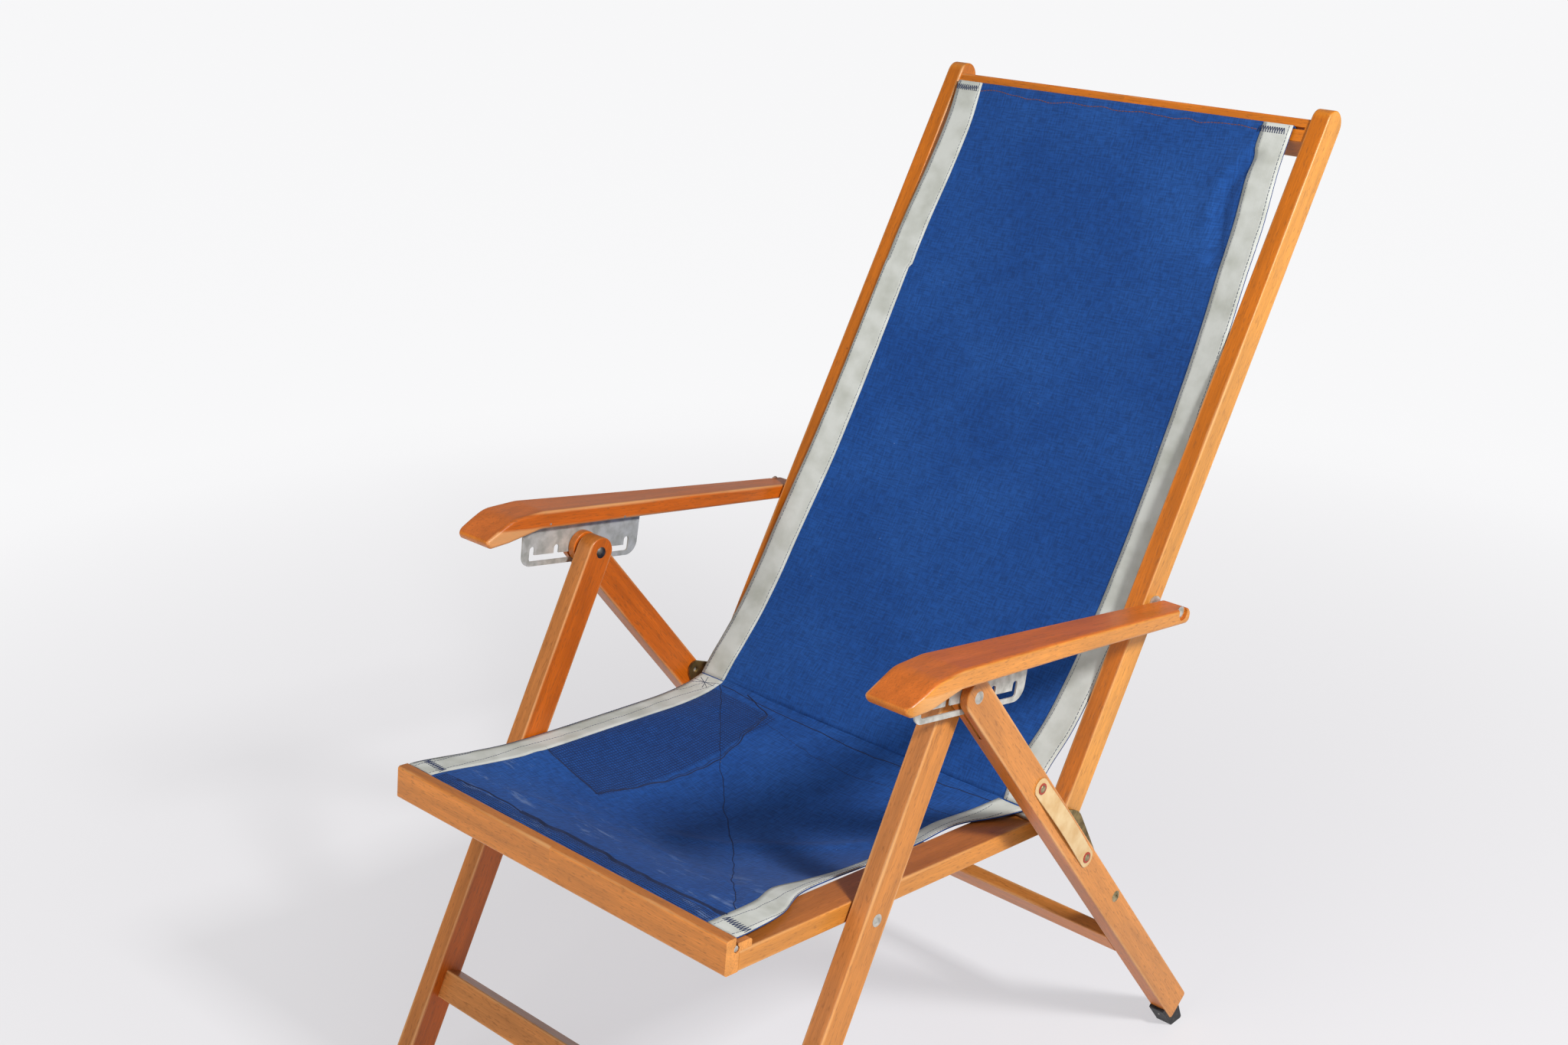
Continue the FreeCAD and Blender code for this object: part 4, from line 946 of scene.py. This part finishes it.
def sewn(name, rows, runs, material):
    """Stitches along paths on the flat cloth: a run is its path, then the length of a stitch and
    the gap after it, the width, the lift off the cloth's middle and the wander, all in mm."""
    ridge = 0.6
    verts = []
    faces = []
    for path, stitch, gap, width, lift, wander in runs:
        for (u0, v0), (u1, v1) in zip(path, path[1:]):
            long = math.hypot(u1 - u0, v1 - v0)
            count = max(int(long / (stitch + gap)), 1)
            for index in range(count):
                ends = []
                for share in (index / count, (index + stitch / (stitch + gap)) / count):
                    u, v = u0 + (u1 - u0) * share, v0 + (v1 - v0) * share
                    stray = noise.noise((u * 0.05, v * 0.05, lift)) * wander
                    off_u, off_v = (v1 - v0) / long * stray, (u1 - u0) / long * stray
                    ends.append(cloth_spot(rows, u - off_u, v + off_v))
                (a, up), (b, _) = ends
                side = (b - a).cross(up).normalized() * width / 2000
                base, crest = up * lift / 1000, up * (lift + width * ridge) / 1000
                first = len(verts)
                for end in (a, b):
                    verts += [end + base - side, end + crest, end + base + side]
                for face in ((0, 3, 4, 1), (1, 4, 5, 2), (0, 2, 5, 3), (0, 1, 2), (3, 5, 4)):
                    faces.append(tuple(first + corner for corner in face))
    mesh = bpy.data.meshes.new(name)
    mesh.from_pydata(verts, [], faces)
    mesh.validate()
    mesh.materials.append(material)
    piece = bpy.data.objects.new(name, mesh)
    bpy.context.collection.objects.link(piece)
    return piece


def zigzag(u0, v0, u1, v1, reach, turns):
    """A path that swings to both sides of a line on the flat cloth."""
    long = math.hypot(u1 - u0, v1 - v0)
    path = []
    for index in range(turns + 1):
        share = index / turns
        swing = reach * (1 if index % 2 else -1)
        u = u0 + (u1 - u0) * share - (v1 - v0) / long * swing
        v = v0 + (v1 - v0) * share + (u1 - u0) / long * swing
        path.append((u, v))
    return path


# The long diagonal, the seam at the crease and a mended tear before it, then the patch's two
# rows and three heavy rows along the mended hem
seat_runs = [
    (((-212, 460), (-157, 413), (-78, 336), (-23, 287), (32, 241), (92, 179), (156, 99), (199, 45)),
     3.4, 0.4, 1.0, on_canvas, 3),
    (((-199, 454), (-120, 452), (17, 450), (140, 451), (201, 455)), 4, 0, 1.1, on_canvas, 2),
    (((-120, 432), (-82, 427), (-22, 418), (37, 415), (90, 419), (198, 407)),
     3, 0.9, 0.6, on_canvas, 3),
    (((-199, 164), (-101, 167), (-95, 230), (-87, 290), (-89, 362), (-111, 440), (-160, 458)),
     3, 0.2, 1.5, on_canvas, 4),
    (((-103, 164), (-90, 290), (-92, 362), (-114, 438)), 2.4, 0.5, 0.9, on_canvas, 6),
    (((-80, 26), (31, 27), (102, 25), (173, 28), (201, 32)), 4, 0, 3.2, on_canvas, 5),
    (((-80, 24), (60, 24), (201, 29)), 4, 0, 2.0, on_canvas, 6),
    (((-178, 20), (-137, 29), (-80, 25)), 3, 0.4, 1.8, on_canvas, 3),
]

# Seven rows that close the hem
for row in range(7):
    seat_runs.append((((-196, 4 + 2.9 * row), (198, 5 + 2.9 * row)), 3, 0.8, 0.9, on_canvas, 2.5))

# Rows on the tapes, bars of zigzag at their front ends and crossed stitches at one rear end
for outer, inner in (((-228, -231), (-206, -205)), ((231, 229), (207, 208))):
    path = ((outer[0], 6), (outer[1], 150), (outer[0] + 4, 250), (outer[1], 440))
    seat_runs.append((path, 3, 1, 0.6, on_tape, 3))
    seat_runs.append((((inner[0], 6), (inner[1], 200), (inner[0], 450)), 3, 1, 0.5, on_tape, 2))
path = ((-234, 8), (-230, 120), (-222, 240), (-224, 400), (-216, 448))
seat_runs.append((path, 3, 1, 0.5, on_tape, 3))
for u0, u1 in ((-234, -202), (205, 236)):
    for shift in (0, 1.2):
        seat_runs.append((zigzag(u0, 24 + shift, u1, 21 + shift, 4.5, 18), 6, 0, 0.8, on_tape, 1))
for start, end in (
    ((-232, 452), (-204, 436)), ((-230, 436), (-203, 455)), ((-226, 458), (-210, 432)),
    ((-234, 444), (-202, 446)),
):
    seat_runs.append(((start, end), 3, 0.5, 0.7, on_tape, 2))
seat_stitches = sewn("seat_stitches", seat_rows, seat_runs, navy_cotton)

# The back's tapes have two rows each and a bar at the top
back_end = back_cut * 1000
back_runs = []
path_lengths = 40
for side in (-1, 1):
    for inset, wide in ((3.5, 0.6), (32.5, 0.5)):
        path = []
        for index in range(path_lengths + 1):
            row = back_rows[round(index / path_lengths * (len(back_rows) - 1))]
            half = (row[-1][1][0] - row[0][1][0]) * 500
            path.append((side * (half - inset), row[0][1][1] * 1000))
        back_runs.append((path, 3, 1, wide, on_tape, 1))
for side, inner, outer in ((-1, 197, 229), (1, 190, 221)):
    path = zigzag(side * inner, back_end - 8, side * outer, back_end - 8, 3.5, 22)
    back_runs.append((path, 5, 0, 0.9, on_tape, 1))
back_stitches = sewn("back_stitches", back_rows, back_runs, navy_cotton)
path = [(u, back_end - v) for u, v in ((-196, 9), (-80, 11), (33, 8), (99, 10), (188, 9))]
hem_runs = [(path, 3, 1.2, 1.1, on_canvas, 3)]
hem_stitches = sewn("back_hem_stitches", back_rows, hem_runs, brown_cotton)
on_seat_cloth(seat_stitches)
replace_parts(seat_stitches, "seat_canvas")
for piece in (back_stitches, hem_stitches):
    on_back_cloth(piece)
    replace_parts(piece, "back_canvas")

# Studio
# White seamless paper, matt, under a soft lamp beside the chair and a wide weak one in front. The
# view is from the sitter's front left, from higher than the chair.
floor_paper, tree, shader = finish_of("studio_paper")
shader.inputs["Base Color"].default_value = linear("#E6E5E7")
shader.inputs["Roughness"].default_value = 0.95
spot = put(tree, "ShaderNodeTexCoord")
apart = put(tree, "ShaderNodeVectorMath", {0: spot.outputs["Object"]}, operation="LENGTH")
far = put(tree, "ShaderNodeMapRange", {
    "Value": apart.outputs["Value"], "From Min": 0.5, "From Max": 2.4,
})
tone = put(tree, "ShaderNodeMix", {
    0: far.outputs[0], 6: linear("#EFEDF0"), 7: linear("#FDFDFE"),
}, data_type="RGBA")
glow = put(tree, "ShaderNodeEmission", {"Color": tone.outputs[2], "Strength": 1.0})
seen = put(tree, "ShaderNodeLightPath")
mirrored = put(tree, "ShaderNodeMath", {
    0: seen.outputs["Is Glossy Ray"], 1: seen.outputs["Is Transmission Ray"],
}, operation="MAXIMUM")
looked_at = put(tree, "ShaderNodeMath", {
    0: seen.outputs["Is Camera Ray"], 1: mirrored.outputs[0],
}, operation="MAXIMUM")
white = put(tree, "ShaderNodeMapRange", {
    "Value": apart.outputs["Value"], "From Min": 0.5, "From Max": 2.2,
    "To Min": 0.62, "To Max": 0.93,
})
share = put(tree, "ShaderNodeMath", {
    0: looked_at.outputs[0], 1: white.outputs[0],
}, operation="MULTIPLY")
paper = put(tree, "ShaderNodeMixShader", {
    0: share.outputs[0], 1: shader.outputs[0], 2: glow.outputs[0],
})
tree.links.new(paper.outputs[0], tree.nodes["Material Output"].inputs["Surface"])
reach = 14
corners = [(-reach, -reach, 0), (reach, -reach, 0), (reach, reach, 0), (-reach, reach, 0)]
mesh = bpy.data.meshes.new("floor")
mesh.from_pydata(corners, [], [(0, 1, 2, 3)])
mesh.materials.append(floor_paper)
floor = bpy.data.objects.new("floor", mesh)
bpy.context.collection.objects.link(floor)

world = bpy.data.worlds.new("studio")
world.use_nodes = True
bpy.context.scene.world = world
tree = world.node_tree
seen = put(tree, "ShaderNodeLightPath")
strength = put(tree, "ShaderNodeMapRange", {
    "Value": seen.outputs["Is Camera Ray"], "To Min": 0.3, "To Max": 0.95,
})
tree.nodes["Background"].inputs["Color"].default_value = (1, 1, 1, 1)
tree.links.new(strength.outputs[0], tree.nodes["Background"].inputs["Strength"])


def softbox(name, place, aim, size, power):
    """A square lamp that faces a point, size in metres and power in watts."""
    lamp = bpy.data.lights.new(name, "AREA")
    lamp.shape = "SQUARE"
    lamp.size = size
    lamp.energy = power
    holder = bpy.data.objects.new(name, lamp)
    holder.location = place
    holder.rotation_euler = (Vector(aim) - Vector(place)).to_track_quat("-Z", "Y").to_euler()
    bpy.context.collection.objects.link(holder)


chair_middle = (0, 0, 0.5)
softbox("key", (2.4, -0.25, 2.5), chair_middle, 0.45, 96)
softbox("fill", (-0.2, -3.0, 1.8), chair_middle, 2.0, 34)

# Solved from the chair's straight edges
camera_place = (1.3026, -1.5117, 1.4026)
camera_tilt = 68.69
camera_turn = 43.079
lens = bpy.data.cameras.new("camera")
lens.lens = 46.042
lens.sensor_width = 36
camera = bpy.data.objects.new("camera", lens)
camera.location = camera_place
camera.rotation_euler = (math.radians(camera_tilt), 0, math.radians(camera_turn))
bpy.context.collection.objects.link(camera)
bpy.context.scene.camera = camera
bpy.context.scene.view_settings.view_transform = "Standard"
